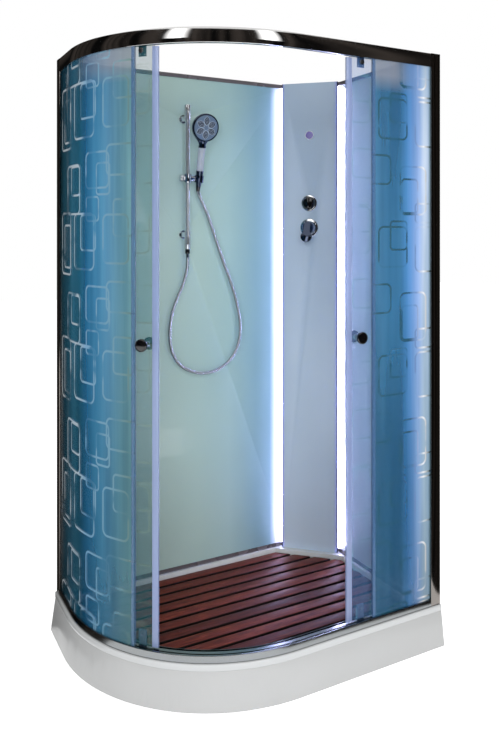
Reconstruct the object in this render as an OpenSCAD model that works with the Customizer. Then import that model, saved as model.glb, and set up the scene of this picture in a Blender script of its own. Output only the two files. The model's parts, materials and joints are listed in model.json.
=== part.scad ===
// Open-topped corner shower cabin with one curved and one sliding glass door.
// +X runs along the long back wall, +Y points at that wall and +Z is up.
// The origin lies on the floor, in the middle of the footprint.

/* [Cabin] */
// Width along the long back wall, over the tray rim
cabin_w = 1200; // [1160:10:1320]
// Depth from the long back wall to the straight front, over the tray rim
cabin_d = 800; // [790:5:880]
// Height from the floor to the top of the head rail
cabin_h = 2150; // [2100:10:2240]
// Radius of the rounded front corner, at the tray rim
corner_r = 600; // [580:5:610]

/* [Tray] */
// Height of the tray rim above the floor
tray_h = 145; // [135:1:170]
// Thickness of the tray shell
tray_t = 5; // [4:0.5:7]
// Height of the lip that hangs round the tray rim
lip_h = 22; // [16:1:28]
// Width of the raised threshold that carries the sill rail
threshold_w = 44; // [43:1:50]
// Height of the threshold above the inner ledge
threshold_h = 10; // [6:1:14]
// Distance from the tray rim to the edge of the basin
basin_inset = 62; // [58:1:70]
// Depth of the basin below the inner ledge
basin_depth = 60; // [52:1:64]
// Distance that the skirt flares out at the floor
skirt_flare = 16; // [8:1:24]
// Thickness of the skirt
skirt_t = 3; // [2:0.5:4]
// Gap between the skirt and the floor
skirt_gap = 3; // [2:1:8]

/* [Deck] */
// Width of one slat of the deck
slat_w = 50; // [40:1:60]
// Gap between two slats
slat_gap = 12; // [8:1:16]
// Thickness of a slat
slat_t = 18; // [14:1:20]
// Width of the battens under the slats
batten_w = 36; // [28:1:44]
// Thickness of the battens
batten_t = 23; // [18:1:24]
// Thickness of the rubber pads under the battens
pad_t = 4; // [3:0.5:5]
// Gap between the deck and the basin wall
deck_gap = 6; // [4:1:10]

/* [Rails and posts] */
// Distance from the tray rim to the outer face of the rails
rail_inset = 6; // [3:0.5:7]
// Depth of the head rail and of the sill rail
rail_d = 36; // [36:0.5:37]
// Height of the head rail
head_rail_h = 50; // [46:1:60]
// Height of the sill rail
sill_h = 25; // [22:1:30]
// Wall of the rail extrusions
rail_t = 2.5; // [2:0.1:3]
// Width of the wall posts
post_w = 42; // [40:1:46]

/* [Glass] */
// Thickness of the glass panes
glass_t = 5; // [4:0.5:5]
// Gap between the open left door and the left post
left_stop_gap = 41.5; // [30:0.5:60]
// Gap between the open right door and the right post
right_stop_gap = 36.5; // [30:0.5:60]
// Angle of the open left door that shows past its fixed pane
left_reveal_deg = 8.2; // [7:0.1:9]
// Length of the open right door that shows past its fixed pane
right_reveal = 104; // [96:1:108]
// Overlap of a closed door and its fixed pane
door_overlap = 24; // [22:1:28]
// Width of the magnetic strip on the front edge of a door
magnet_w = 22; // [18:1:26]
// Height of the centre of the door knobs
knob_z = 1141; // [1000:1:1250]
// Radius of the door knobs
knob_r = 21; // [17:0.5:24]
// Distance from the front edge of a door to its knob
knob_back = 50; // [48:1:54]

/* [Walls and column] */
// Distance from the tray rim to the face of the long wall
long_inset = 45; // [44:1:50]
// Distance from the tray rim to the face of the short wall
short_inset = 60; // [58:1:64]
// Height of the wall tops below the top of the head rail
wall_drop = 8; // [4:1:20]
// Visible width of the wall frames
frame_w = 16; // [14:1:20]
// Depth of the wall frames
frame_d = 26; // [22:1:28]
// Width of the flat face of the corner column
column_w = 248; // [240:2:260]
// Distance from the corner of the walls to the column face
column_reach = 146; // [144:1:160]
// Radius of the rounded column edges
column_r = 8; // [6:1:9]
// Thickness of the column cover
fascia_t = 4; // [3:0.5:5]

/* [Taps] */
// Height of the mixer axis
mixer_z = 1519; // [1450:1:1540]
// Height of the diverter axis
diverter_z = 1625; // [1615:1:1640]
// Radius of the mixer plate
mixer_plate_r = 40; // [38:0.5:46]
// Radius of the mixer dome
dome_r = 30; // [27:0.5:31]
// Radius of the diverter plate
diverter_plate_r = 35; // [32:0.5:38]
// Radius of the diverter knob
diverter_r = 29; // [24:0.5:31]
// Height of the plain round plaque
plaque_z = 1917; // [1850:1:1960]
// Radius of the plain round plaque
plaque_r = 19; // [14:0.5:24]

/* [Hand shower] */
// Distance from the left tray rim to the riser rail
riser_x = 497; // [440:1:540]
// Distance from the long wall to the riser rail axis
riser_out = 50; // [46:1:56]
// Radius of the riser rail
riser_r = 9; // [8:0.5:10]
// Height of the lower end of the riser rail
riser_z0 = 1433; // [1425:1:1440]
// Height of the upper end of the riser rail
riser_z1 = 2008; // [1980:1:2040]
// Height of the slider at rest
slider_z = 1716; // [1680:1:1760]
// Sideways distance from the riser rail to the handset
handset_side = 50; // [48:1:56]
// Tilt of the handset towards the user
handset_tilt = 14; // [8:1:20]
// Radius of the handset head
head_r = 56; // [48:1:60]
// Distance along the handset from its cradle to its head
head_up = 208; // [200:1:220]
// Radius of the handset grip
grip_r = 15; // [13:0.5:16]
// Outer diameter of the hose
hose_d = 14; // [12:0.5:15]

/* [Waste] */
// Distance from the middle of the cabin to the waste, along the long wall
waste_x = 250; // [200:5:260]
// Distance from the middle of the cabin to the waste, across it
waste_y = -20; // [-40:5:0]
// Radius of the hole for the waste
waste_hole_r = 45; // [44:0.5:46]
// Radius of the waste outlet spigot
spigot_r = 20; // [19:0.5:21]
// Length of the waste outlet spigot
spigot_len = 90; // [70:5:110]

/* [Fits] */
// Clearance of glass in its slots, on each side
glass_gap = 0.3; // [0.2:0.05:0.4]
// Radial clearance of shafts that turn
run_gap = 0.05; // [0.02:0.01:0.09]
// Clearance between parts that slide past each other
slide_gap = 0.3; // [0.25:0.05:0.5]

/* [Hidden] */
$fn = 64;

// Outline of the tray rim
xl = -cabin_w / 2 + skirt_flare / 2;
xr = xl + cabin_w;
yf = -cabin_d / 2 + skirt_flare / 2;
yb = yf + cabin_d;
// Centre of the rounded corner, about which the left door turns
ax = xl + corner_r;
ay = yf + corner_r;

// Heights
ledge_z = tray_h - threshold_h;
basin_z = ledge_z - basin_depth;
sill_top = tray_h + sill_h;
rail_z = cabin_h - head_rail_h;
wall_top = cabin_h - wall_drop;
batten_z = basin_z + pad_t;
slat_z = batten_z + batten_t;

// Distances inward from the tray rim, across the rails
u_in = rail_inset + rail_d;
u_fix = rail_inset + 6;
u_door = rail_inset + 17;
u_door_in = u_door + glass_t;
u_div = u_door - 5;
plate_gap = 0.3;
u_plate = u_door_in + plate_gap;
plate_t = 3.2;
u_wheel = u_plate + plate_t + 1;
wheel_w = 6;
wheel_r = 9;
axle_r = 2.5;
track_z = rail_z + 12;
wheel_z = track_z + rail_t + wheel_r + slide_gap;
door_top = rail_z + 8;
door_bottom = sill_top + 3;

// Near faces of the two posts
post_gap = 2;
left_post_y = yb - post_gap - post_w;
right_post_x = xr - post_gap - post_w;

// Angle of a length along the rim of the rounded corner
function arc_deg(mm) = mm / corner_r * 180 / PI;

// Door angles, counted anticlockwise from +X about the corner centre. The open
// door ends short of its post, and the closed one overlaps its fixed pane.
meet_gap_deg = 0.05;
overlap_deg = arc_deg(door_overlap);
trail_deg = 180 - asin((left_post_y - left_stop_gap - ay) / (corner_r - u_door));
fixed_edge_deg = (trail_deg + overlap_deg + 270 - meet_gap_deg - left_reveal_deg) / 2;
lead_deg = fixed_edge_deg + left_reveal_deg;
swing_deg = 270 - meet_gap_deg - lead_deg;
magnet_deg = arc_deg(magnet_w);
grip_mm = 8;
front_hanger_back = 64;
rear_hanger_in = 50;
knob_deg = lead_deg - arc_deg(knob_back);
left_front_deg = lead_deg - arc_deg(front_hanger_back);
// The rear wheel stays just inside the rounded stretch of the track
left_rear_deg = 180.6;

// Right door positions along X, by the same rules
meet_gap = 0.5;
trail_x = right_post_x - right_stop_gap;
fixed_edge_x = (trail_x - door_overlap + right_reveal + ax + meet_gap) / 2;
lead_x = fixed_edge_x - right_reveal;
slide_mm = lead_x - ax - meet_gap;
right_front_x = lead_x + front_hanger_back;
right_rear_x = trail_x - rear_hanger_in;
echo(left_door_swing_deg = swing_deg, right_door_slide_mm = slide_mm);

// Walls
long_y = yb - long_inset;
short_x = xr - short_inset;
long_x0 = xl + u_in;
short_y0 = yf + u_in;
frame_lip = 4;
slot_in = 12;

// Column frame: local X runs along its face and local -Y into the cabin
column_s = (short_x + long_y) - column_reach * sqrt(2);
column_x = (column_s + short_x - long_y) / 2;
column_y = (column_s - short_x + long_y) / 2;
return_d = 14;
long_x1 = column_x - column_w / 2 * sin(45) + 40;
short_y1 = column_y - column_w / 2 * sin(45) + 40;

// Taps
neck_r = 18;
neck_out = 14;
dome_y = -8;
plate_t2 = 6;
valve_r = 23;
valve_d = 44;
inlet_r = 10.4;
inlet_s = 26;

// Hand shower
rail_x = xl + riser_x;
rail_y = long_y - riser_out;
bracket_z0 = riser_z0 + 58;
bracket_z1 = riser_z1 - 50;
hs_x = rail_x + handset_side;
cradle_r = 18;
cone_r0 = 10.5;
cone_r1 = 13.5;
nut_h = 18;
nut_r = 10;
bore_r = 4;

// Distance along the handset from its pivot down to the end of the hose
hose_drop = 51.5;

// Route of the hose from the nut on the riser rail, as offsets from its start
hose_start = [rail_x, rail_y, riser_z0 - nut_h];
hose_route = [
    [0, 0, -30], [-3, 0, -65], [-20, 1, -125], [-47, 2, -185],
    [-67, 3, -249], [-74, 4, -316], [-65, 5, -383], [-32, 5, -441],
    [25, 5, -475], [89, 5, -485], [153, 5, -467], [203, 5, -425],
    [231, 5, -365], [236, 5, -299], [226, 5, -233], [209, 5, -167],
    [186, 5, -103], [161, 6, -39], [138, 7, 25], [115, 8, 89],
    [92, 9, 153], [70, 10, 201]
];
hose_end = [
    hs_x, rail_y + hose_drop * sin(handset_tilt), slider_z - hose_drop * cos(handset_tilt)
];
hose_ribs = 190;
hose_sides = 8;

// Placing and repeated shapes

// Puts local X along the curved front, local Y inward from the tray rim
module at_arc(a) {
    translate([ax + corner_r * cos(a), ay + corner_r * sin(a), 0]) rotate([0, 0, a + 90]) children();
}

module at_front(x) {
    translate([x, yf, 0]) children();
}

// A 2D section in (distance inward, height) bent round the corner
module bend(a0, a1) {
    translate([ax, ay, 0]) rotate([0, 0, a0]) rotate_extrude(angle = a1 - a0, $fn = 180)
        translate([corner_r, 0]) mirror([1, 0]) children();
}

// The same section run straight along the front
module along_front(x0, x1) {
    translate([x0, yf, 0]) rotate([90, 0, 90]) linear_extrude(x1 - x0) children();
}

// The same section run straight along the left side
module along_left(y0, y1) {
    translate([xl, y1, 0]) rotate([90, 0, 0]) linear_extrude(y1 - y0) children();
}

module section(u0, u1, z0, z1) {
    translate([u0, z0]) square([u1 - u0, z1 - z0]);
}

// Footprint set in by u from the open sides and by v from the walls
module plan(u, v) {
    r = corner_r - u;
    intersection() {
        translate([ax, ay]) circle(r, $fn = 180);
        translate([ax - r, ay - r]) square(r);
    }
    translate([ax, yf + u]) square([xr - v - ax, yb - v - yf - u]);
    translate([xl + u, ay]) square([r, yb - v - ay]);
}

// Corner of the footprint that the column cuts off, in by d from its face
module column_corner(d) {
    translate([column_x, column_y]) rotate(-45) translate([-cabin_d / 2, -d]) square(cabin_d);
}

module on_column(s, z) {
    translate([column_x, column_y, z]) rotate([0, 0, -45]) translate([s, 0, 0]) children();
}

// Cylinder from a point on the column, along the normal into the cabin
module column_rod(y0, y1, r0) {
    translate([0, y0, 0]) rotate([90, 0, 0]) cylinder(h = y0 - y1, r = r0);
}

module x_rod(x0, x1, r0) {
    translate([x0, 0, 0]) rotate([0, 90, 0]) cylinder(h = x1 - x0, r = r0);
}

module y_rod(y0, y1, r0) {
    translate([0, y0, 0]) rotate([-90, 0, 0]) cylinder(h = y1 - y0, r = r0);
}

// Tray and what stands under it

module tray() {
    color("white") difference() {
        union() {
            difference() {
                translate([0, 0, tray_h - lip_h]) linear_extrude(lip_h) plan(0, 0);
                translate([0, 0, tray_h - lip_h - 1]) linear_extrude(lip_h + 1 - threshold_h - tray_t)
                    plan(tray_t, tray_t);
            }
            translate([0, 0, basin_z - tray_t]) linear_extrude(ledge_z - basin_z + tray_t - 1)
                basin_plan(-tray_t);
        }
        translate([0, 0, ledge_z]) linear_extrude(threshold_h + 1)
            plan(threshold_w, -1);
        translate([0, 0, basin_z]) linear_extrude(basin_depth + 1) basin_plan(0);
        translate([waste_x, waste_y, basin_z - 2 * tray_t]) cylinder(h = 4 * tray_t, r = waste_hole_r);
    }
}

// Ledges between the basin and the walls, and between the basin and the column
wall_ledge = 14;
column_ledge = 20;

// Outline of the basin, in by d
module basin_plan(d) {
    difference() {
        plan(basin_inset + d, 0);
        translate([short_x - wall_ledge - d, -cabin_d]) square([cabin_w, 2 * cabin_d]);
        translate([-cabin_w, long_y - wall_ledge - d]) square([2 * cabin_w, cabin_d]);
        column_corner(column_ledge + d);
    }
}

// Front and back ends of that outline at one x
function basin_front(x, d) =
    let (r = corner_r - basin_inset - d, side = max(0, ax - x))
    ay - sqrt(r * r - side * side);
function basin_back(x, d) = min(
    long_y - wall_ledge - d,
    column_x + column_y - x - (column_ledge + d) * sqrt(2)
);

skirt_top = tray_h - lip_h;

module skirt_section() {
    polygon([
        [1, skirt_top], [1 + skirt_t, skirt_top],
        [skirt_t - skirt_flare, skirt_gap], [-skirt_flare, skirt_gap]
    ]);
}

module tray_skirt() {
    color("whitesmoke") {
        bend(180, 270) skirt_section();
        along_front(ax, xr) skirt_section();
        along_left(ay, yb) skirt_section();
    }
}

frame_tube = 25;
frame_z = basin_z - tray_t - frame_tube;
frame_over = 30;
front_y = yf + 150;
back_y = yb - 110;
frame_xs = [ax - 0.55 * corner_r, waste_x - 112, xr - 120];
back_left_x = xl + 90;
foot_r = 6;
feet = concat(
    [for (x = frame_xs) [x, front_y]],
    [[back_left_x, back_y], [frame_xs[1], back_y], [frame_xs[2], back_y]]
);

// Tube of the support frame, lying along X or Y
module frame_tube_x(x0, x1, y) {
    translate([x0, y - frame_tube / 2, frame_z]) cube([x1 - x0, frame_tube, frame_tube]);
}

module frame_tube_y(y0, y1, x) {
    translate([x - frame_tube / 2, y0, frame_z]) cube([frame_tube, y1 - y0, frame_tube]);
}

module tray_frame() {
    color("gainsboro") difference() {
        union() {
            frame_tube_x(frame_xs[0] - frame_over, frame_xs[2] + frame_over, front_y);
            frame_tube_x(back_left_x - frame_over, frame_xs[2] + frame_over, back_y);
            for (x = frame_xs) frame_tube_y(front_y - frame_over, back_y + frame_over, x);
        }
        for (p = feet)
            translate([p[0], p[1], frame_z - 1]) cylinder(h = frame_tube - 3, r = foot_r + slide_gap);
    }
}

module tray_feet() {
    color("dimgray") for (p = feet) translate([p[0], p[1], 0]) {
        cylinder(h = 8, r = 24);
        translate([0, 0, 8]) cylinder(h = 5, r1 = 24, r2 = 12);
        cylinder(h = frame_z + 14, r = foot_r);
        translate([0, 0, frame_z - 9]) cylinder(h = 9, r = 10, $fn = 6);
    }
}

// Waste

flange_r = waste_hole_r + 12;
flange_t = 3;
throat_r = waste_hole_r - 2;
cover_r = waste_hole_r + 6;
trap_z = 12;
trap_top = basin_z - tray_t - 4;
trap_t = 4;
trap_r = throat_r + trap_t;
spigot_t = 3;
// Flat collar at the root of the spigot, which stops the pipe
collar_r = spigot_r + trap_t;
spigot_y0 = trap_r + 3;
spigot_y1 = spigot_y0 + spigot_len;
spigot_z = trap_z + collar_r + 2;

module waste_flange() {
    color("silver") translate([waste_x, waste_y, 0]) difference() {
        union() {
            translate([0, 0, basin_z]) cylinder(h = flange_t, r = flange_r);
            translate([0, 0, trap_top]) cylinder(h = basin_z - trap_top, r = throat_r);
        }
        translate([0, 0, trap_top - 1]) cylinder(h = basin_z, r = throat_r - 4);
    }
}

module waste_cover() {
    color("silver") translate([waste_x, waste_y, basin_z + flange_t]) {
        difference() {
            cylinder(h = 5, r = cover_r);
            translate([0, 0, -1]) cylinder(h = 3.5, r = cover_r - 4);
        }
        translate([0, 0, -20]) difference() {
            cylinder(h = 23, r = throat_r - 4 - slide_gap);
            translate([0, 0, -1]) cylinder(h = 23, r = throat_r - 7);
            for (a = [0 : 60 : 120]) rotate([0, 0, a]) translate([-60, -8, 2]) cube([120, 16, 12]);
        }
    }
}

module waste_trap() {
    color("ghostwhite") translate([waste_x, waste_y, 0]) difference() {
        union() {
            translate([0, 0, trap_z]) cylinder(h = trap_top - trap_z, r = trap_r);
            translate([0, 0, spigot_z]) y_rod(0, spigot_y0, collar_r);
            translate([0, 0, spigot_z]) y_rod(0, spigot_y1, spigot_r);
        }
        translate([0, 0, trap_z + trap_t]) cylinder(h = trap_top, r = trap_r - trap_t - spigot_t);
        translate([0, 0, spigot_z]) y_rod(trap_r / 2, spigot_y1 + 1, spigot_r - spigot_t);
    }
}

// Deck

slat_pitch = slat_w + slat_gap;
deck_y0 = yf + basin_inset + deck_gap;
slat_count = floor((yb - deck_y0) / slat_pitch) + 1;
// The right batten lies just clear of the waste cover, the others at one pitch
batten_pitch = 260;
batten_x0 = waste_x + flange_r + batten_w / 2 + 3;
batten_xs = [for (i = [2, 1, 0]) batten_x0 - i * batten_pitch];
batten_in = 14;
pad_r = 12;
pad_in = 2 * pad_r;

module deck_plan() {
    basin_plan(deck_gap);
}

module deck_slats() {
    color("saddlebrown") translate([0, 0, slat_z]) linear_extrude(slat_t) intersection() {
        deck_plan();
        for (i = [0 : slat_count - 1])
            translate([xl, deck_y0 + i * slat_pitch]) square([cabin_w, slat_w]);
    }
}

module batten_plan() {
    intersection() {
        basin_plan(deck_gap + batten_in);
        for (x = batten_xs) translate([x - batten_w / 2, yf]) square([batten_w, cabin_d]);
    }
}

module deck_battens() {
    color("sienna") translate([0, 0, batten_z]) linear_extrude(batten_t) batten_plan();
}

// Three pads under each batten: near its ends and halfway between them
module deck_pads() {
    color("black") for (x = batten_xs) {
        y0 = basin_front(x - batten_w / 2, deck_gap + batten_in) + pad_in;
        y1 = basin_back(x + batten_w / 2, deck_gap + batten_in) - pad_in;
        for (y = [y0, (y0 + y1) / 2, y1]) translate([x, y, basin_z]) cylinder(h = pad_t, r = pad_r);
    }
}

// Rails and posts

module head_section() {
    difference() {
        section(rail_inset, u_in, rail_z, cabin_h);
        section(u_fix - glass_gap, u_fix + glass_t + glass_gap, rail_z - 1, cabin_h - rail_t);
        section(u_div + 2, u_in - rail_t, track_z + rail_t, cabin_h - rail_t);
        section(u_div + 2, u_wheel - 0.5, rail_z - 1, track_z + rail_t + 1);
        section(u_div + 2, u_in + 1, rail_z - 1, track_z);
    }
}

module head_rail() {
    color("silver") {
        bend(180, 270) head_section();
        along_front(ax, right_post_x) head_section();
        along_left(ay, left_post_y) head_section();
    }
}

guide_u = u_door_in + 4;
groove_u0 = guide_u - 1.5;
groove_u1 = u_in - rail_t;
sill_floor = tray_h + 6;

module sill_section() {
    difference() {
        section(rail_inset, u_in, tray_h, sill_top);
        section(u_fix - glass_gap, u_fix + glass_t + glass_gap, tray_h + 8, sill_top + 1);
        section(groove_u0, groove_u1, sill_floor, sill_top + 1);
    }
}

module sill_rail() {
    color("silver") {
        bend(180, 270) sill_section();
        along_front(ax, right_post_x) sill_section();
        along_left(ay, left_post_y) sill_section();
    }
}

post_t = 2.5;
post_slot = 14;
screw_r = 2;
screw_zs = [tray_h + 120, (tray_h + cabin_h) / 2, cabin_h - 160];

// Post seen in plan: X across the rails, Y along them away from the glass
module post(w) {
    difference() {
        translate([rail_inset, 0, tray_h]) cube([rail_d, w, cabin_h - tray_h]);
        translate([rail_inset + post_t, post_slot + post_t, tray_h - 1])
            cube([rail_d - 2 * post_t, w - post_slot - 2 * post_t, cabin_h]);
        translate([u_fix - glass_gap, -1, tray_h - 1])
            cube([glass_t + 2 * glass_gap, post_slot + 1, cabin_h - rail_t - tray_h]);
        for (z = screw_zs)
            translate([u_in - post_t - 1, w - 12, z]) x_rod(0, post_t + 2, screw_r + 0.2);
    }
}

module place_left_post() {
    translate([xl, left_post_y, 0]) children();
}

module place_right_post() {
    translate([right_post_x, yf, 0]) mirror([1, -1, 0]) children();
}

module left_post() {
    color("silver") place_left_post() post(post_w);
}

module right_post() {
    color("silver") place_right_post() post(post_w);
}

module screws() {
    for (z = screw_zs) translate([u_in, post_w - 12, z]) {
        difference() {
            x_rod(0, 2.2, 4.2);
            x_rod(1.2, 3, 1.6);
        }
        x_rod(-post_t - 4, 0, screw_r);
    }
}

module post_screws() {
    color("gray") {
        place_left_post() screws();
        place_right_post() screws();
    }
}

// Fixed glass

fix_z0 = tray_h + 8;
fix_z1 = rail_z + 20;

module fixed_section() {
    section(u_fix, u_fix + glass_t, fix_z0, fix_z1);
}

// Slot for a fixed pane
module fixed_slot() {
    section(u_fix - glass_gap, u_fix + glass_t + glass_gap, fix_z0, fix_z1);
}

module fixed_glass_left() {
    color("steelblue", 0.5) {
        bend(180, fixed_edge_deg) fixed_section();
        along_left(ay, left_post_y + slot_in) fixed_section();
    }
}

module fixed_glass_right() {
    color("steelblue", 0.5) along_front(fixed_edge_x, right_post_x + slot_in) fixed_section();
}

// Strip on the free edge of a fixed pane, with a fin that brushes the door
seal_t = 1;
seal_z0 = sill_top + slide_gap;
seal_z1 = rail_z - slide_gap;

module fixed_seal_section() {
    section(u_fix - seal_t, u_fix + glass_t + seal_t, seal_z0, seal_z1);
}

module fin_section(u0, u1) {
    section(u0, u1, seal_z0, seal_z1);
}

fin_w = 2;
strip_w = 10;

module fixed_seal_left() {
    s = arc_deg(strip_w);
    e = arc_deg(seal_t);
    color("lavender") difference() {
        union() {
            bend(fixed_edge_deg - s, fixed_edge_deg + e) fixed_seal_section();
            bend(fixed_edge_deg + e - arc_deg(fin_w), fixed_edge_deg + e)
                fin_section(u_fix + glass_t + seal_t / 2, u_door - slide_gap);
        }
        bend(fixed_edge_deg - 2 * s, fixed_edge_deg) fixed_slot();
    }
}

module fixed_seal_right() {
    color("lavender") difference() {
        union() {
            along_front(fixed_edge_x - seal_t, fixed_edge_x + strip_w) fixed_seal_section();
            along_front(fixed_edge_x - seal_t, fixed_edge_x - seal_t + fin_w)
                fin_section(u_fix + glass_t + seal_t / 2, u_door - slide_gap);
        }
        along_front(fixed_edge_x, fixed_edge_x + 2 * strip_w) fixed_slot();
    }
}

// Doors

module door_section() {
    section(u_door, u_door_in, door_bottom, door_top);
}

// Slot for a door pane
module door_slot() {
    section(u_door - glass_gap, u_door_in + glass_gap, door_bottom, door_top);
}

hanger_z = rail_z - 12;
guide_z = sill_top + 34;
bolt_r = 4;

// Bolt holes through a door pane, at its hangers and guides
module pane_holes() {
    for (z = [hanger_z, guide_z])
        translate([0, 0, z]) y_rod(u_door - 2, u_door_in + 2, bolt_r + slide_gap);
}

module knob_hole() {
    translate([0, 0, knob_z]) y_rod(u_door - 2, u_door_in + 2, bolt_r + slide_gap);
}

glass_lead_deg = lead_deg - arc_deg(magnet_w - grip_mm);
glass_lead_x = lead_x + magnet_w - grip_mm;

module door_glass_left() {
    color("lightsteelblue", 0.5) difference() {
        bend(trail_deg, glass_lead_deg) door_section();
        at_arc(left_front_deg) pane_holes();
        at_arc(left_rear_deg) pane_holes();
        at_arc(knob_deg) knob_hole();
    }
}

module door_glass_right() {
    color("lightsteelblue", 0.5) difference() {
        along_front(glass_lead_x, trail_x) door_section();
        at_front(right_front_x) pane_holes();
        at_front(right_rear_x) pane_holes();
        at_front(lead_x + knob_back) knob_hole();
    }
}

strip_z0 = door_bottom + 1;
strip_z1 = rail_z - 2;

module magnet_section() {
    section(u_door - 2, u_door_in + 2, strip_z0, strip_z1);
}

module magnet_strip_left() {
    color("lavender") difference() {
        bend(lead_deg - magnet_deg, lead_deg) magnet_section();
        bend(lead_deg - 2 * magnet_deg, glass_lead_deg) door_slot();
    }
}

module magnet_strip_right() {
    color("lavender") difference() {
        along_front(lead_x, lead_x + magnet_w) magnet_section();
        along_front(glass_lead_x, lead_x + 2 * magnet_w) door_slot();
    }
}

// Strip on the rear edge of a door, whose fin points at the fixed pane
module rear_section() {
    section(u_door - 1, u_door_in + seal_t, strip_z0, strip_z1);
}

rear_w = 8;
rear_fin_u = u_fix + glass_t + seal_t + slide_gap;

module rear_seal_left() {
    s = arc_deg(rear_w);
    e = arc_deg(seal_t);
    color("lavender") difference() {
        union() {
            bend(trail_deg - e, trail_deg + s) rear_section();
            bend(trail_deg - e, trail_deg - e + arc_deg(fin_w))
                section(rear_fin_u, u_door - seal_t / 2, strip_z0, strip_z1);
        }
        bend(trail_deg, trail_deg + 2 * s) door_slot();
    }
}

module rear_seal_right() {
    color("lavender") difference() {
        union() {
            along_front(trail_x - rear_w, trail_x + seal_t) rear_section();
            along_front(trail_x + seal_t - fin_w, trail_x + seal_t)
                section(rear_fin_u, u_door - seal_t / 2, strip_z0, strip_z1);
        }
        along_front(trail_x - 2 * rear_w, trail_x) door_slot();
    }
}

// Gap that keeps the flat foot of a knob off the hollow face of the curved pane
foot_gap = 0.2;

// Round pull knob on one face of a door, with its foot at height 0
module pull() {
    rotate_extrude() polygon([
        [0, 0], [12, 0], [12, 3], [8, 6], [8, 14], [knob_r - 2, 18],
        [knob_r, 20], [knob_r, 26], [knob_r - 3, 29], [0, 29]
    ]);
}

module knob_pair() {
    translate([0, 0, knob_z]) {
        translate([0, u_door, 0]) rotate([90, 0, 0]) pull();
        translate([0, u_door_in + foot_gap, 0]) rotate([-90, 0, 0]) pull();
        y_rod(u_door - 1, u_door_in + 1, bolt_r);
    }
}

module door_knob_left() {
    color("#222") at_arc(knob_deg) knob_pair();
}

module door_knob_right() {
    color("#222") at_front(lead_x + knob_back) knob_pair();
}

// Hanger plate with its bolt and wheel axle; the front ones have an outer cap
module hanger(capped) {
    difference() {
        translate([-14, u_plate, rail_z - 30]) cube([28, plate_t, wheel_z + 5 - rail_z + 30]);
        for (s = [-1, 1]) translate([s * 9, 0, rail_z - 24]) y_rod(0, u_in, 2);
    }
    translate([0, 0, wheel_z]) {
        y_rod(u_plate + 1, u_wheel + wheel_w + 0.6, axle_r);
        y_rod(u_plate + 1, u_wheel - slide_gap, axle_r + 2);
    }
    translate([0, 0, hanger_z]) {
        y_rod(u_door + bolt_back, u_plate + 1, bolt_r);
        y_rod(u_plate + plate_t, u_plate + plate_t + 3, 8);
        if (capped) y_rod(u_door - 3.5, u_door, 9);
        if (capped) y_rod(u_door - 0.5, u_door + 1, bolt_r);
    }
}

module hangers_left() {
    color("dimgray") {
        at_arc(left_front_deg) hanger(true);
        at_arc(left_rear_deg) hanger(false);
    }
}

module hangers_right() {
    color("dimgray") {
        at_front(right_front_x) hanger(true);
        at_front(right_rear_x) hanger(false);
    }
}

module wheel() {
    translate([0, 0, wheel_z]) difference() {
        y_rod(u_wheel, u_wheel + wheel_w, wheel_r);
        y_rod(u_wheel - 1, u_wheel + wheel_w + 1, axle_r + run_gap);
    }
}

module roller_left_front() {
    color("white") at_arc(left_front_deg) wheel();
}

module roller_left_rear() {
    color("white") at_arc(left_rear_deg) wheel();
}

module roller_right_front() {
    color("white") at_front(right_front_x) wheel();
}

module roller_right_rear() {
    color("white") at_front(right_rear_x) wheel();
}

guide_w = 26;
guide_t = 7;
guide_h = 46;
tongue_w = 22;
tongue_t = 5;
guide_lift = 2;
tongue_lift = 3;
bolt_back = 0.4;
guide_head_r = 9;

// Guide at the foot of a door, with a tongue in the groove of the sill rail
module guide() {
    translate([-guide_w / 2, u_plate, sill_top + guide_lift]) cube([guide_w, guide_t, guide_h]);
    translate([-tongue_w / 2, guide_u, sill_floor + tongue_lift])
        cube([tongue_w, tongue_t, sill_top - sill_floor]);
    translate([0, 0, guide_z]) {
        y_rod(u_door + bolt_back, u_plate + 1, bolt_r);
        y_rod(u_plate + guide_t - 1, u_plate + guide_t + 5, guide_head_r);
    }
}

module guides_left() {
    color("gray") {
        at_arc(left_front_deg) guide();
        at_arc(left_rear_deg) guide();
    }
}

module guides_right() {
    color("gray") {
        at_front(right_front_x) guide();
        at_front(right_rear_x) guide();
    }
}

// Back walls

module long_wall_box(m, y0, y1) {
    translate([long_x0 + m, y0, ledge_z + m])
        cube([long_x1 - long_x0 - 2 * m, y1 - y0, wall_top - ledge_z - 2 * m]);
}

module short_wall_box(m, x0, x1) {
    translate([x0, short_y0 + m, ledge_z + m])
        cube([x1 - x0, short_y1 - short_y0 - 2 * m, wall_top - ledge_z - 2 * m]);
}

rail_fix_r = 7;

module long_wall_glass() {
    color("paleturquoise", 0.6) difference() {
        long_wall_box(frame_lip, long_y, long_y + glass_t);
        for (z = [bracket_z0, bracket_z1])
            translate([rail_x, 0, z]) y_rod(long_y - 1, long_y + glass_t + 1, rail_fix_r + slide_gap);
    }
}

module short_wall_glass() {
    color("paleturquoise", 0.6) short_wall_box(frame_lip, short_x, short_x + glass_t);
}

module long_wall_frame() {
    color("#443f4a") difference() {
        long_wall_box(0, long_y - frame_lip, long_y - frame_lip + frame_d);
        long_wall_box(frame_w, long_y - 10, long_y + frame_d);
        long_wall_box(frame_lip - glass_gap, long_y - glass_gap, long_y + glass_t + glass_gap);
        // foot cut away over the raised threshold
        translate([long_x0 - 1, long_y - 10, ledge_z - 1])
            cube([threshold_w - u_in + 2, frame_d + 20, threshold_h + 1]);
    }
}

module short_wall_frame() {
    color("#443f4a") difference() {
        short_wall_box(0, short_x - frame_lip, short_x - frame_lip + frame_d);
        short_wall_box(frame_w, short_x - 10, short_x + frame_d);
        short_wall_box(frame_lip - glass_gap, short_x - glass_gap, short_x + glass_t + glass_gap);
        translate([short_x - 10, short_y0 - 1, ledge_z - 1])
            cube([frame_d + 20, threshold_w - u_in + 2, threshold_h + 1]);
    }
}

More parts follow.
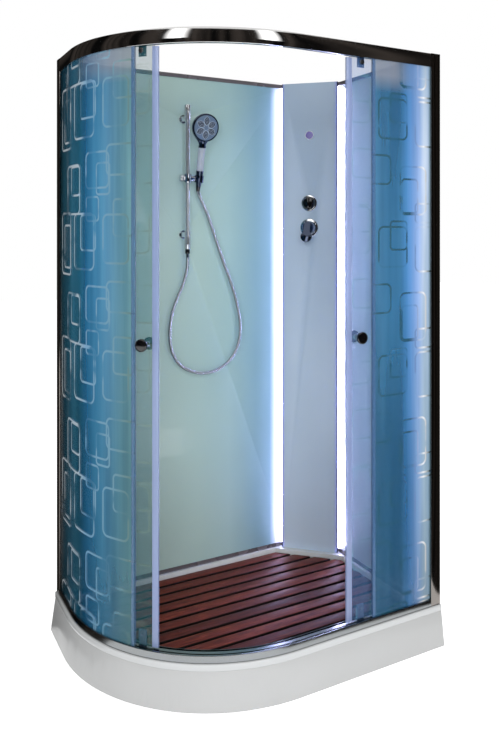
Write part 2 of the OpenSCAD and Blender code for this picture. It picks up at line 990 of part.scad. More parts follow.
// Corner column

// Bent sheet seen in plan: flat front at local y = 0, rounded edges and two returns
function side_points(w, r, c) = [for (i = [0 : 6]) [w / 2 - c + r * cos(i * 15), c - r * sin(i * 15)]];

module bent_sheet(w, d, r, t) {
    outer = concat([[w / 2, d]], side_points(w, r, r));
    inner = concat([[w / 2 - t, d]], side_points(w, r - t, r));
    left = function (pts) [for (i = [len(pts) - 1 : -1 : 0]) [-pts[i][0], pts[i][1]]];
    back = function (pts) [for (i = [len(pts) - 1 : -1 : 0]) pts[i]];
    polygon(concat(outer, left(outer), back(left(inner)), back(inner)));
}

module column_cover() {
    color("lavender") difference() {
        on_column(0, ledge_z) linear_extrude(wall_top - ledge_z)
            bent_sheet(column_w, return_d, column_r, fascia_t);
        on_column(0, mixer_z) column_rod(20, -20, neck_r + 1);
        on_column(0, diverter_z) column_rod(20, -20, neck_r + 1);
    }
}

// Channel behind the cover: two side plates, an end plate at each end, two straps
side_plate_t = 4;
side_plate_s = column_w / 2 - 14;
side_plate_d = 20;
end_plate_t = 6;
strap_h = 60;
strap_zs = [mixer_z - 130, diverter_z + 90];

module column_frame() {
    color("gainsboro") on_column(0, 0) {
        for (z = [ledge_z, wall_top - end_plate_t])
            translate([-side_plate_s, fascia_t, z]) cube([2 * side_plate_s, side_plate_d, end_plate_t]);
        for (s = [-side_plate_s, side_plate_s - side_plate_t])
            translate([s, fascia_t, ledge_z]) cube([side_plate_t, side_plate_d, wall_top - ledge_z]);
        for (z = strap_zs) translate([-side_plate_s, fascia_t + side_plate_d - side_plate_t, z])
            cube([2 * side_plate_s, side_plate_t, strap_h]);
    }
}

light_w = 5;
light_z0 = ledge_z + frame_w + 2;
light_z1 = wall_top - frame_w - 2;

module light_strips() {
    color("white") on_column(0, light_z0) for (s = [-column_w / 2 - light_w, column_w / 2])
        translate([s, column_r, 0]) cube([light_w, return_d - column_r, light_z1 - light_z0]);
}

module plaque() {
    color("slateblue") on_column(0, plaque_z) column_rod(0, -2, plaque_r);
}

// Taps

module mixer_valve() {
    color("goldenrod") on_column(0, 0) {
        for (z = [mixer_z, diverter_z]) translate([0, 0, z]) {
            column_rod(fascia_t + valve_d, fascia_t, valve_r);
            column_rod(fascia_t + 1, -neck_out, neck_r);
        }
        translate([0, fascia_t + valve_d / 2, mixer_z]) cylinder(h = diverter_z - mixer_z, r = 13);
        for (s = [-1, 1]) translate([0, fascia_t + valve_d / 2, mixer_z]) {
            x_rod(min(0, s * inlet_s), max(0, s * inlet_s), 12);
            translate([s * inlet_s, 0, -40]) cylinder(h = 40, r = inlet_r);
            translate([s * inlet_s, 0, -22]) cylinder(h = 22, r = 13, $fn = 6);
            translate([s * inlet_s, 0, 0]) sphere(12);
        }
        translate([0, fascia_t + valve_d / 2, diverter_z]) x_rod(-inlet_s - 8, 0, 10);
    }
}

module ring_plate(r) {
    difference() {
        union() {
            column_rod(0, -plate_t2 + 2, r);
            translate([0, -plate_t2 + 2, 0]) rotate([90, 0, 0]) cylinder(h = 2, r1 = r, r2 = r - 2);
        }
        column_rod(1, -plate_t2 - 1, neck_r + 1);
    }
}

module mixer_plate() {
    color("silver") on_column(0, mixer_z) ring_plate(mixer_plate_r);
}

// Ball-shaped dome, cut flat just in front of its plate and bored for the valve neck
module mixer_dome() {
    color("silver") on_column(0, mixer_z) rotate([90, 0, 0]) rotate_extrude() difference() {
        intersection() {
            translate([0, -dome_y]) circle(dome_r, $fn = 96);
            translate([0, plate_t2 + slide_gap]) square(2 * dome_r);
        }
        translate([-1, 0]) square([1 + neck_r + run_gap, neck_out + 1]);
    }
}

lever_shell = 4;
lever_cap_r = 25;
lever_rise = 20;
lever_t = 9;
lever_len = 52;
lever_neck = 28;
lever_end_r = 24;

// Cap round the dome with a paddle that points down and outward
module mixer_lever() {
    color("silver") on_column(0, mixer_z) translate([0, dome_y, 0]) {
        rotate([90, 0, 0]) rotate_extrude() difference() {
            intersection() {
                circle(dome_r + lever_shell, $fn = 96);
                square([lever_cap_r, 2 * dome_r]);
            }
            circle(dome_r + slide_gap, $fn = 96);
        }
        rotate([90 - lever_rise, 0, 0]) translate([0, 0, dome_r + 1]) linear_extrude(lever_t) {
            circle(lever_neck / 2);
            translate([-lever_neck / 2, -lever_len]) square([lever_neck, lever_len]);
            translate([0, -lever_len]) circle(lever_end_r);
        }
    }
}

module diverter_plate() {
    color("silver") on_column(0, diverter_z) ring_plate(diverter_plate_r);
}

module diverter_knob() {
    y0 = -plate_t2 - slide_gap;
    color("#222") on_column(0, diverter_z) difference() {
        union() {
            column_rod(y0, y0 - 16, diverter_r);
            translate([0, y0 - 16, 0]) rotate([90, 0, 0])
                cylinder(h = 6, r1 = diverter_r, r2 = diverter_r - 8);
            translate([-4, y0 - 26, -diverter_r + 8]) cube([8, 10, 2 * diverter_r - 16]);
        }
        column_rod(1, -neck_out - 1, neck_r + run_gap);
    }
}

pipe_r = 7;
pipe_y = long_y + frame_d + pipe_r;
pipe_z = 1560;

// Point of the column frame in cabin coordinates
function column_point(s, d) = [
    column_x + (s + d) * sin(45), column_y + (d - s) * sin(45)
];

module feed_pipe() {
    p = column_point(-inlet_s - 8 - pipe_r, fascia_t + valve_d / 2);
    color("silver") {
        translate([p[0], p[1], pipe_z]) cylinder(h = diverter_z - pipe_z, r = pipe_r);
        translate([p[0], p[1], diverter_z]) sphere(pipe_r);
        translate([p[0], p[1], pipe_z]) {
            sphere(pipe_r);
            y_rod(0, pipe_y - p[1], pipe_r);
        }
        translate([0, pipe_y, pipe_z]) {
            x_rod(rail_x, p[0], pipe_r);
            translate([p[0], 0, 0]) sphere(pipe_r);
            translate([rail_x, 0, 0]) sphere(pipe_r);
        }
        translate([rail_x, pipe_y, bracket_z0]) {
            cylinder(h = pipe_z - bracket_z0, r = pipe_r);
            sphere(pipe_r);
        }
        translate([rail_x, 0, bracket_z0]) y_rod(long_y + glass_t + 14, pipe_y, pipe_r);
    }
}

// Hand shower

sleeve_r = riser_r + 3;

module riser_rail() {
    color("silver") translate([rail_x, rail_y, 0]) {
        translate([0, 0, riser_z0]) cylinder(h = riser_z1 - riser_z0, r = riser_r);
        translate([0, 0, riser_z0]) cylinder(h = 72, r = sleeve_r);
        translate([0, 0, riser_z1 - 62]) cylinder(h = 62, r = sleeve_r);
        translate([0, 0, riser_z1]) cylinder(h = 3, r1 = sleeve_r, r2 = sleeve_r - 3);
    }
}

module riser_brackets() {
    color("silver") for (z = [bracket_z0, bracket_z1]) translate([rail_x, 0, z]) difference() {
        union() {
            y_rod(rail_y, long_y - 5, 10);
            y_rod(long_y - 5, long_y, 17);
            y_rod(long_y - 1, long_y + glass_t + 14, rail_fix_r);
            y_rod(long_y + glass_t, long_y + glass_t + 6, 14);
        }
        translate([0, rail_y, -30]) cylinder(h = 60, r = sleeve_r);
    }
}

clamp_h = 34;

module slider() {
    color("silver") translate([rail_x, rail_y, slider_z]) difference() {
        union() {
            translate([0, 0, -clamp_h / 2]) cylinder(h = clamp_h, r = 16);
            x_rod(0, handset_side - cradle_r - 3, 11);
            x_rod(-20, 0, 9);
        }
        translate([0, 0, -clamp_h]) cylinder(h = 2 * clamp_h, r = riser_r + run_gap);
        x_rod(handset_side - cradle_r - 12, handset_side, 4 + run_gap);
        x_rod(-21, -riser_r, 4 + run_gap);
    }
}

module clamp_knob() {
    color("silver") translate([rail_x, rail_y, slider_z]) {
        x_rod(-29, -20 - slide_gap, 15);
        x_rod(-33, -29, 12);
        x_rod(-22, -riser_r - 1, 4);
    }
}

module tilted() {
    translate([hs_x, rail_y, slider_z]) rotate([handset_tilt, 0, 0]) children();
}

module handset_cradle() {
    color("#222") {
        difference() {
            tilted() translate([0, 0, -14]) cylinder(h = 28, r = cradle_r);
            tilted() translate([0, 0, -31])
                cylinder(h = 62, r1 = cone_r0 + slide_gap, r2 = cone_r1 + slide_gap + 1.5);
            tilted() translate([-5.5, -30, -20]) cube([11, 30, 40]);
        }
        translate([rail_x, rail_y, slider_z]) {
            x_rod(handset_side - cradle_r - 3 + slide_gap, handset_side - cradle_r + 2.5, 11);
            x_rod(handset_side - cradle_r - 11, handset_side - cradle_r, 4);
        }
    }
}

module handset_body() {
    color("whitesmoke") tilted() difference() {
        union() {
            translate([0, 0, -31]) cylinder(h = 62, r1 = cone_r0, r2 = cone_r1 + 1.5);
            translate([0, 0, 31]) cylinder(h = head_up - head_r + 6 - 31, r = grip_r);
            translate([0, -6, head_up]) rotate([90, 0, 0]) cylinder(h = 16, r = head_r);
            translate([0, -6, head_up]) rotate([-90, 0, 0]) cylinder(h = 16, r1 = head_r, r2 = head_r - 26);
        }
        translate([0, -15, head_up]) rotate([90, 0, 0]) cylinder(h = 20, r = head_r - 6 + slide_gap);
        translate([0, 0, -32]) cylinder(h = 120, r = bore_r);
    }
}

module handset_face() {
    color("slategray") tilted() translate([0, -15 - slide_gap, head_up]) rotate([90, 0, 0]) {
        cylinder(h = 8, r = head_r - 6);
        for (a = [0 : 60 : 300]) rotate([0, 0, a]) for (b = [-1, 0, 1])
            translate([b * 6, 26 + 6 * (1 - abs(b)), 8]) cylinder(h = 1.5, r = 2.2);
    }
}

// Hose

function unit(v) = v / norm(v);

// Catmull-Rom point between b and c
function curve(a, b, c, d, t) =
    0.5 * (2 * b + (c - a) * t + (2 * a - 5 * b + 4 * c - d) * t * t
    + (3 * b - a - 3 * c + d) * t * t * t);

nut_axis = [0, sin(handset_tilt), -cos(handset_tilt)];
hose_points = concat([hose_start], [for (p = hose_route) hose_start + p], [hose_end]);
hose_ghost = concat(
    [hose_start + [0, 0, 30]], hose_points,
    [hose_end - 40 * nut_axis]
);
hose_steps = 2 * hose_ribs;
hose_last = len(hose_points) - 1;

function hose_at(t) =
    let (k = min(floor(t * hose_last), hose_last - 1), f = t * hose_last - k)
    curve(hose_ghost[k], hose_ghost[k + 1], hose_ghost[k + 2], hose_ghost[k + 3], f);

hose_line = [for (i = [0 : hose_steps]) hose_at(i / hose_steps)];
hose_length = [for (i = 0, s = 0; i < hose_steps; s = s + norm(hose_line[i + 1] - hose_line[i]), i = i + 1) s];

function hose_dir(i) =
    i == 0 ? [0, 0, -1]
    : i == hose_steps ? -nut_axis
    : unit(hose_line[i + 1] - hose_line[i - 1]);

// Ring of points about the hose line; the side vector never meets the route's direction
function hose_ring(i, r) =
    let (d = hose_dir(i), n = unit(cross(d, [0, 1, 0])), m = cross(n, d))
    [for (j = [0 : hose_sides - 1])
        hose_line[i] + r * (n * cos(j * 360 / hose_sides) + m * sin(j * 360 / hose_sides))];

hose_plain = 4;
function hose_radius(i) =
    (i <= hose_plain || i >= hose_steps - hose_plain) ? hose_d / 2
    : (i % 2 == 0) ? hose_d / 2 : hose_d / 2 - 0.8;

hose_outer = [for (i = [0 : hose_steps]) each hose_ring(i, hose_radius(i))];
bore_every = 8;
bore_rings = [for (i = [0 : bore_every : hose_steps]) i];
bore_last = hose_steps % bore_every == 0 ? bore_rings : concat(bore_rings, [hose_steps]);
hose_inner = [for (i = bore_last) each hose_ring(i, bore_r)];
inner_base = len(hose_outer);
inner_rows = len(bore_last);

function next_side(j) = (j + 1) % hose_sides;

hose_faces = concat(
    [for (i = [0 : hose_steps - 1], j = [0 : hose_sides - 1], k = [0, 1])
        let (a = i * hose_sides + j, b = i * hose_sides + next_side(j), c = a + hose_sides, d = b + hose_sides)
        k == 0 ? [a, c, b] : [b, c, d]],
    [for (i = [0 : inner_rows - 2], j = [0 : hose_sides - 1], k = [0, 1])
        let (a = inner_base + i * hose_sides + j, b = inner_base + i * hose_sides + next_side(j),
            c = a + hose_sides, d = b + hose_sides)
        k == 0 ? [a, b, c] : [b, d, c]],
    [for (j = [0 : hose_sides - 1], k = [0, 1])
        let (a = j, b = next_side(j), c = inner_base + j, d = inner_base + next_side(j))
        k == 0 ? [a, b, c] : [b, d, c]],
    [for (j = [0 : hose_sides - 1], k = [0, 1])
        let (o = hose_steps * hose_sides, p = inner_base + (inner_rows - 1) * hose_sides,
            a = o + j, b = o + next_side(j), c = p + j, d = p + next_side(j))
        k == 0 ? [a, c, b] : [b, c, d]]
);

// Least distance between two stretches of the hose that are not neighbours
hose_apart = ceil(4 * hose_d / (hose_length[hose_steps - 1] / hose_steps));
hose_gap = min([for (i = [0 : 3 : hose_steps], j = [i + hose_apart : 3 : hose_steps])
    norm(hose_line[i] - hose_line[j])]) - hose_d;

module shower_hose() {
    echo(hose_length = hose_length[hose_steps - 1], hose_least_gap = hose_gap);
    color("silver") polyhedron(points = concat(hose_outer, hose_inner), faces = hose_faces);
}

module hose_nut_rail() {
    color("#222") translate([rail_x, rail_y, hose_start[2]]) difference() {
        cylinder(h = riser_z0 - hose_start[2], r = nut_r);
        translate([0, 0, -1]) cylinder(h = riser_z0, r = bore_r);
    }
}

// Height of the foot of the handset above its pivot
handset_foot = -31;
// Gap between the end of the hose and the nut on the handset
nut_gap = 0.2;

module hose_nut_handset() {
    color("#222") tilted() translate([0, 0, nut_gap - hose_drop]) difference() {
        cylinder(h = hose_drop - nut_gap + handset_foot, r1 = 8, r2 = nut_r);
        translate([0, 0, -1]) cylinder(h = hose_drop, r = bore_r);
    }
}

tray();
tray_skirt();
tray_frame();
tray_feet();
waste_flange();
waste_cover();
waste_trap();
deck_slats();
deck_battens();
deck_pads();
left_post();
right_post();
head_rail();
sill_rail();
fixed_glass_left();
fixed_glass_right();
fixed_seal_left();
fixed_seal_right();
door_glass_left();
door_glass_right();
magnet_strip_left();
magnet_strip_right();
rear_seal_left();
rear_seal_right();
door_knob_left();
door_knob_right();
hangers_left();
hangers_right();
roller_left_front();
roller_left_rear();
roller_right_front();
roller_right_rear();
guides_left();
guides_right();
long_wall_glass();
short_wall_glass();
long_wall_frame();
short_wall_frame();
column_cover();
column_frame();
light_strips();
plaque();
mixer_valve();
mixer_plate();
mixer_dome();
mixer_lever();
diverter_plate();
diverter_knob();
feed_pipe();
riser_rail();
riser_brackets();
slider();
clamp_knob();
handset_cradle();
handset_body();
handset_face();
shower_hose();
hose_nut_rail();
hose_nut_handset();
post_screws();
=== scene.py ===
import json
import math

import bmesh
import bpy
from mathutils import Matrix, Vector


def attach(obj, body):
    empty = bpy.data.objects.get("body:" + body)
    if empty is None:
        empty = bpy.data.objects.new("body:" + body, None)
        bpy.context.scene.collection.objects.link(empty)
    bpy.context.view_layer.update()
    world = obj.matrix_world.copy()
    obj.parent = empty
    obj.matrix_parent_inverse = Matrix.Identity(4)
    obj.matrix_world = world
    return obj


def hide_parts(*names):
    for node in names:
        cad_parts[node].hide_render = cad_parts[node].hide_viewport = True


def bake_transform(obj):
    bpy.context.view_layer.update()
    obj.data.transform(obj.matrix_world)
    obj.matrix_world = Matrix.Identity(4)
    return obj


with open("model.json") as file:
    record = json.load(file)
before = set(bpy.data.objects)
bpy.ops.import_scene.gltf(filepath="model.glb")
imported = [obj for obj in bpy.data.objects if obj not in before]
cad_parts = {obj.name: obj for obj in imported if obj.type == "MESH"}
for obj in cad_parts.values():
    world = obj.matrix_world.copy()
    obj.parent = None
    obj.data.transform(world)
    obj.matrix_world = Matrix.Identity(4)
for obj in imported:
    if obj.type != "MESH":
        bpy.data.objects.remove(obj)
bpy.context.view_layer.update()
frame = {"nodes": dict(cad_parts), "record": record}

nodes = frame["nodes"]
record = frame["record"]
scene = bpy.context.scene
bodyOf = {n: body for body, names in record["behaviour"]["bodies"].items() for n in names}
slotOf = {part["node"]: part["material_slot"] for part in record["subparts"]}
print("frame loaded:", len(nodes), "nodes")

# Plan of the cabin in metres, as in the part's source. Distances u run inward from the tray rim.
cabin = {
    "left": -0.592, "right": 0.608, "front": -0.392, "back": 0.408,
    "cornerX": 0.008, "cornerY": 0.208, "cornerRadius": 0.600,
    "fixU": 0.012, "doorU": 0.023, "glass": 0.005, "postEnd": 0.044,
    "column": Vector((0.44476, 0.25976, 0)), "wallTop": 2.1,
}
quarter = cabin["cornerRadius"] * math.pi / 2  # length of the rim round the corner

# Where the rails start and end at the posts, along the rim from the left end of the corner
runStart = -(cabin["back"] - cabin["postEnd"] - cabin["cornerY"])
runEnd = quarter + cabin["right"] - cabin["postEnd"] - cabin["cornerX"]


def makeCamera():
    values = {"place": (-1.2294, -2.4529, 1.5081), "yaw": 29.78, "lens": 36.26,
              "shiftX": -0.048, "shiftY": -0.187, "sensor": 36, "farClip": 60}
    data = bpy.data.cameras.new("photoCamera")
    data.lens = values["lens"]
    data.sensor_width = values["sensor"]
    data.shift_x = values["shiftX"]
    data.shift_y = values["shiftY"]
    data.clip_end = values["farClip"]
    camera = bpy.data.objects.new("photoCamera", data)
    camera.location = values["place"]
    camera.rotation_euler = (math.radians(90), 0, -math.radians(values["yaw"]))
    scene.collection.objects.link(camera)
    scene.camera = camera


makeCamera()
print("camera set")


# Nodes and colours
def colour(code, shade=1.0):
    parts = [int(code[i:i + 2], 16) / 255 for i in (1, 3, 5)]
    linear = [c / 12.92 if c <= 0.04045 else ((c + 0.055) / 1.055) ** 2.4 for c in parts]
    return [c * shade for c in linear] + [1.0]


def addNode(tree, kind, values=None, **settings):
    made = tree.nodes.new(kind)
    for key, value in settings.items():
        setattr(made, key, value)
    for key, value in (values or {}).items():
        if isinstance(value, bpy.types.NodeSocket):
            tree.links.new(value, made.inputs[key])
        else:
            made.inputs[key].default_value = value
    return made


def calc(tree, operation, *values):
    return addNode(tree, "ShaderNodeMath", dict(enumerate(values)), operation=operation).outputs[0]


def newMaterial(name, **inputs):
    material = bpy.data.materials.new(name)
    material.use_nodes = True
    shader = material.node_tree.nodes["Principled BSDF"]
    for key, value in inputs.items():
        shader.inputs[key.replace("_", " ")].default_value = value
    return material, material.node_tree, shader


def objectPoint(tree, scale=(1, 1, 1)):
    source = addNode(tree, "ShaderNodeTexCoord").outputs["Object"]
    return addNode(tree, "ShaderNodeMapping", {"Vector": source, "Scale": scale}).outputs[0]


def noise(tree, point, size, detail=3.0, rough=0.5):
    return addNode(tree, "ShaderNodeTexNoise",
                   {"Vector": point, "Scale": size, "Detail": detail, "Roughness": rough}).outputs[0]


def spread(tree, value, low, high, fromLow=0.3, fromHigh=0.7):
    return addNode(tree, "ShaderNodeMapRange", {"Value": value, "From Min": fromLow, "From Max": fromHigh,
                                                "To Min": low, "To Max": high}).outputs[0]


def ramp(tree, value, stops):
    made = addNode(tree, "ShaderNodeValToRGB", {"Fac": value})
    marks = made.color_ramp.elements
    while len(marks) < len(stops):
        marks.new(0.5)
    for mark, (place, code) in zip(marks, stops):
        mark.position = place
        mark.color = colour(code) if isinstance(code, str) else code
    return made.outputs[0]


def mixed(tree, factor, first, second, mode="MIX"):
    made = tree.nodes.new("ShaderNodeMix")
    made.data_type = "RGBA"
    made.blend_type = mode
    for place, value in ((0, factor), (6, first), (7, second)):
        if isinstance(value, bpy.types.NodeSocket):
            tree.links.new(value, made.inputs[place])
        else:
            made.inputs[place].default_value = value
    return made.outputs[2]


def bumped(tree, shader, height, strength, distance=0.001):
    made = addNode(tree, "ShaderNodeBump", {"Height": height, "Strength": strength, "Distance": distance})
    tree.links.new(made.outputs[0], shader.inputs["Normal"])


# Finishes
def polishedMetal(name, code, low, high, size=9.0, metal=1.0):
    material, tree, shader = newMaterial(name, Base_Color=colour(code), Metallic=metal)
    smear = noise(tree, objectPoint(tree), size, 4.0, 0.6)
    tree.links.new(spread(tree, smear, low, high), shader.inputs["Roughness"])
    return material


def brushedMetal(name, code, rough, stretch):
    material, tree, shader = newMaterial(name, Metallic=1.0, Roughness=rough)
    lines = noise(tree, objectPoint(tree, stretch), 14.0, 5.0, 0.7)
    tree.links.new(ramp(tree, lines, [(0.3, colour(code, 0.7)), (0.7, code)]), shader.inputs["Base Color"])
    bumped(tree, shader, lines, 0.15, 0.0003)
    return material


def mouldedPlastic(name, code, rough, grain=700.0, depth=0.08, coat=0.0):
    material, tree, shader = newMaterial(name, Coat_Weight=coat, Coat_Roughness=0.08)
    point = objectPoint(tree)
    tree.links.new(ramp(tree, noise(tree, point, 4.0), [(0.3, colour(code, 0.96)), (0.7, code)]),
                   shader.inputs["Base Color"])
    tree.links.new(spread(tree, noise(tree, point, 12.0), rough * 0.94, rough * 1.06), shader.inputs["Roughness"])
    if depth:
        bumped(tree, shader, noise(tree, point, grain, 2.0), depth, 0.0004)
    return material


def darkWood():
    values = {"pitch": 0.062, "firstGap": -0.330, "grain": 9.0, "along": 1.6, "acrossGrain": 26.0,
              "paintedSideShade": (0.1140, 0.1175), "paintedEdgeShade": (0.0066, 0.0082)}
    material, tree, shader = newMaterial("oiledHardwood", Specular_IOR_Level=0.25)
    split = addNode(tree, "ShaderNodeSeparateXYZ", {"Vector": objectPoint(tree)})
    across = calc(tree, "SUBTRACT", split.outputs["Y"], values["firstGap"])
    row = calc(tree, "FLOOR", calc(tree, "DIVIDE", across, values["pitch"]))
    pick = addNode(tree, "ShaderNodeTexWhiteNoise", {"W": row}, noise_dimensions="1D").outputs["Value"]
    moved = addNode(tree, "ShaderNodeCombineXYZ", {
        "X": calc(tree, "MULTIPLY", calc(tree, "ADD", split.outputs["X"], pick), values["along"]),
        "Y": calc(tree, "MULTIPLY", split.outputs["Y"], values["acrossGrain"]),
        "Z": calc(tree, "MULTIPLY_ADD", split.outputs["Z"], values["acrossGrain"],
                  calc(tree, "MULTIPLY", pick, 40.0)),
    }).outputs[0]
    grain = noise(tree, moved, values["grain"], 7.0, 0.62)
    streak = ramp(tree, grain, [(0.30, "#3a110b"), (0.46, "#6c281a"), (0.60, "#8c402b"), (0.74, "#a4583c")])
    tint = ramp(tree, pick, [(0.0, "#b0a09a"), (1.0, "#f4eae6")])
    # painted shade: the slats are darkened at their edges and sides, where the gaps between them lie in shadow
    fromGap = calc(tree, "PINGPONG", across, values["pitch"] / 2)
    plain = calc(tree, "MULTIPLY", spread(tree, split.outputs["Z"], 0.0, 1.0, *values["paintedSideShade"]),
                 spread(tree, fromGap, 0.0, 1.0, *values["paintedEdgeShade"]))
    wood = mixed(tree, plain, colour("#0c0605"), mixed(tree, 1.0, streak, tint, "MULTIPLY"))
    tree.links.new(wood, shader.inputs["Base Color"])
    tree.links.new(spread(tree, grain, 0.42, 0.6), shader.inputs["Roughness"])
    bumped(tree, shader, grain, 0.35, 0.0008)
    return material


def litDiffuser():
    values = {"strength": 42.0, "dot": 0.008}
    material, tree, shader = newMaterial("litDiffuser", Base_Color=colour("#f4f4ff"), Roughness=0.4,
                                         Emission_Strength=values["strength"])
    high = addNode(tree, "ShaderNodeSeparateXYZ", {"Vector": objectPoint(tree)}).outputs["Z"]
    dots = calc(tree, "MULTIPLY", calc(tree, "PINGPONG", high, values["dot"]), 1 / values["dot"])
    tree.links.new(ramp(tree, dots, [(0.0, "#c2bcff"), (1.0, "#d8d4ff")]), shader.inputs["Emission Color"])
    return material


# Rounded outlines in the satin of a pane, repeated up the glass; s runs along the rim
def outlineMask(tree, s, z, layout, period, width):
    total = None
    for middleS, middleZ, halfS, halfZ, radius in layout:
        fromZ = calc(tree, "WRAP", calc(tree, "SUBTRACT", z, middleZ), period / 2, -period / 2)
        offset = addNode(tree, "ShaderNodeCombineXYZ",
                         {"X": calc(tree, "SUBTRACT", s, middleS), "Y": fromZ}).outputs[0]
        corner = addNode(tree, "ShaderNodeVectorMath", {0: offset}, operation="ABSOLUTE").outputs[0]
        corner = addNode(tree, "ShaderNodeVectorMath", {0: corner, 1: (halfS - radius, halfZ - radius, 0)},
                         operation="SUBTRACT").outputs[0]
        corner = addNode(tree, "ShaderNodeVectorMath", {0: corner, 1: (0, 0, 0)}, operation="MAXIMUM").outputs[0]
        away = addNode(tree, "ShaderNodeVectorMath", {0: corner}, operation="LENGTH").outputs["Value"]
        fromLine = calc(tree, "ABSOLUTE", calc(tree, "SUBTRACT", away, radius))
        line = spread(tree, fromLine, 1.0, 0.0, width * 0.3, width * 0.6)
        total = line if total is None else calc(tree, "MAXIMUM", total, line)
    return total


def satinGlass(name, shades, lineShades, layout, satin, clear, span, pale=None):
    values = {"period": 0.450, "line": 0.0075, "streak": 22.0, "wear": 9.0,
              "paleTop": (1.99, 2.05), "clearFoot": (0.15, 0.50)}
    material, tree, shader = newMaterial(name, Roughness=0.25, Specular_IOR_Level=0.12,
                                         Coat_Weight=0.1, Coat_Roughness=0.03)
    place = addNode(tree, "ShaderNodeUVMap", uv_map="pane").outputs[0]
    split = addNode(tree, "ShaderNodeSeparateXYZ", {"Vector": place})
    s, z = split.outputs["X"], split.outputs["Y"]
    lines = outlineMask(tree, s, z, layout, values["period"], values["line"])
    worn = noise(tree, addNode(tree, "ShaderNodeCombineXYZ", {"X": s, "Y": z}).outputs[0], values["wear"], 2.0)
    lines = calc(tree, "MULTIPLY", lines, spread(tree, worn, 0.15, 1.0, 0.41, 0.50))
    along = spread(tree, s, 0.0, 1.0, *span)
    body = ramp(tree, along, shades)
    stretched = calc(tree, "MULTIPLY", s, values["streak"])
    point = addNode(tree, "ShaderNodeCombineXYZ", {"X": stretched, "Y": z}).outputs[0]
    streaks = ramp(tree, noise(tree, point, 1.0), [(0.35, "#d2dde4"), (0.65, "#ffffff")])
    # painted shade: the pane darker towards its foot and a little at its top
    level = calc(tree, "DIVIDE", z, cabin["wallTop"])
    depth = ramp(tree, level, [(0.05, "#bccacc"), (0.36, "#ccdadc"), (0.60, "#ffffff"), (0.80, "#ffffff"),
                               (1.0, "#d6e0e6")])
    body = mixed(tree, 1.0, mixed(tree, 1.0, body, streaks, "MULTIPLY"), depth, "MULTIPLY")
    # painted shade: a grey across the pane's top, fading along the pane, where the dimmer studio shows through the
    # glass above the walls
    if pale:
        top = calc(tree, "MULTIPLY", spread(tree, z, 0.0, 0.6, *values["paleTop"]),
                   spread(tree, along, 0.0, 1.0, *pale))
        body = mixed(tree, top, body, colour("#a3a2a9"))
    tree.links.new(mixed(tree, lines, body, ramp(tree, along, lineShades)), shader.inputs["Base Color"])
    cover = spread(tree, lines, satin, clear, 0.0, 1.0)
    foot = spread(tree, z, 0.78, 1.0, *values["clearFoot"])
    tree.links.new(calc(tree, "MULTIPLY", cover, foot), shader.inputs["Alpha"])
    return material


def paleWallGlass():
    values = {"span": (-0.45, 0.40)}
    material, tree, shader = newMaterial("paleWallGlass", Coat_Weight=0.8, Coat_Roughness=0.05, Coat_IOR=1.5)
    split = addNode(tree, "ShaderNodeSeparateXYZ", {"Vector": objectPoint(tree)})
    across = spread(tree, split.outputs["X"], 0.0, 1.0, *values["span"])
    # the wall's pale green running to blue, with painted light near-white at its end by the column's lit strip
    shade = ramp(tree, across, [(0.0, "#c2d8d2"), (0.5, "#bcd8d4"), (0.66, "#b4d4d6"), (0.81, "#93bbc7"),
                                (0.89, "#8db8c6"), (0.925, "#e8f6ff")])
    cloud = ramp(tree, noise(tree, objectPoint(tree), 1.4), [(0.35, "#f0f3f3"), (0.65, "#ffffff")])
    level = calc(tree, "DIVIDE", split.outputs["Z"], cabin["wallTop"])
    # painted shade: darker towards the top
    paintedHeightShade = ramp(tree, level, [(0.7, "#ffffff"), (1.0, "#dee2e2")])
    shade = mixed(tree, 1.0, mixed(tree, 1.0, shade, cloud, "MULTIPLY"), paintedHeightShade, "MULTIPLY")
    tree.links.new(shade, shader.inputs["Base Color"])
    tree.links.new(spread(tree, noise(tree, objectPoint(tree), 30.0), 0.32, 0.42), shader.inputs["Roughness"])
    return material


# Satin cover with a dark seam along each rounded edge and a painted violet glow from the lit strips beside it
def columnShell():
    values = {"half": 0.124, "band": 0.028}
    material, tree, shader = newMaterial("columnShell", Roughness=0.35, Coat_Weight=0.1, Coat_Roughness=0.1)
    split = addNode(tree, "ShaderNodeSeparateXYZ", {"Vector": objectPoint(tree)})
    diagonal = math.sqrt(0.5)
    side = calc(tree, "SUBTRACT", split.outputs["X"], split.outputs["Y"])
    side = calc(tree, "MULTIPLY_ADD", side, diagonal, (cabin["column"].y - cabin["column"].x) * diagonal)
    fromEdge = calc(tree, "SUBTRACT", values["half"], calc(tree, "ABSOLUTE", side))
    # dark seam at the edge, then painted light: a violet glow from the strips, fading into the cover's own pale
    # blue
    seamAndPaintedGlow = ramp(tree, calc(tree, "DIVIDE", fromEdge, values["band"]),
                [(0.0, "#12122a"), (0.13, "#2a2a52"), (0.20, "#aab6f4"), (0.40, "#c4d0fb"), (0.60, "#cbdcee")])
    cloud = ramp(tree, noise(tree, objectPoint(tree), 3.0), [(0.3, "#f6f8fa"), (0.7, "#ffffff")])
    level = calc(tree, "DIVIDE", split.outputs["Z"], cabin["wallTop"])
    # painted shade: darker towards the top
    paintedHeightShade = ramp(tree, level, [(0.2, "#ffffff"), (0.55, "#eef0f2"), (0.95, "#c8cdd2")])
    shade = mixed(tree, 1.0, mixed(tree, 1.0, seamAndPaintedGlow, cloud, "MULTIPLY"), paintedHeightShade, "MULTIPLY")
    tree.links.new(shade, shader.inputs["Base Color"])
    return material


def clearStrip(name, code, alpha):
    material, tree, shader = newMaterial(name, Roughness=0.25, Alpha=alpha, Coat_Weight=0.5, Coat_Roughness=0.05)
    point = objectPoint(tree, (1, 1, 0.05))
    tree.links.new(ramp(tree, noise(tree, point, 60.0), [(0.3, colour(code, 0.85)), (0.7, code)]),
                   shader.inputs["Base Color"])
    return material
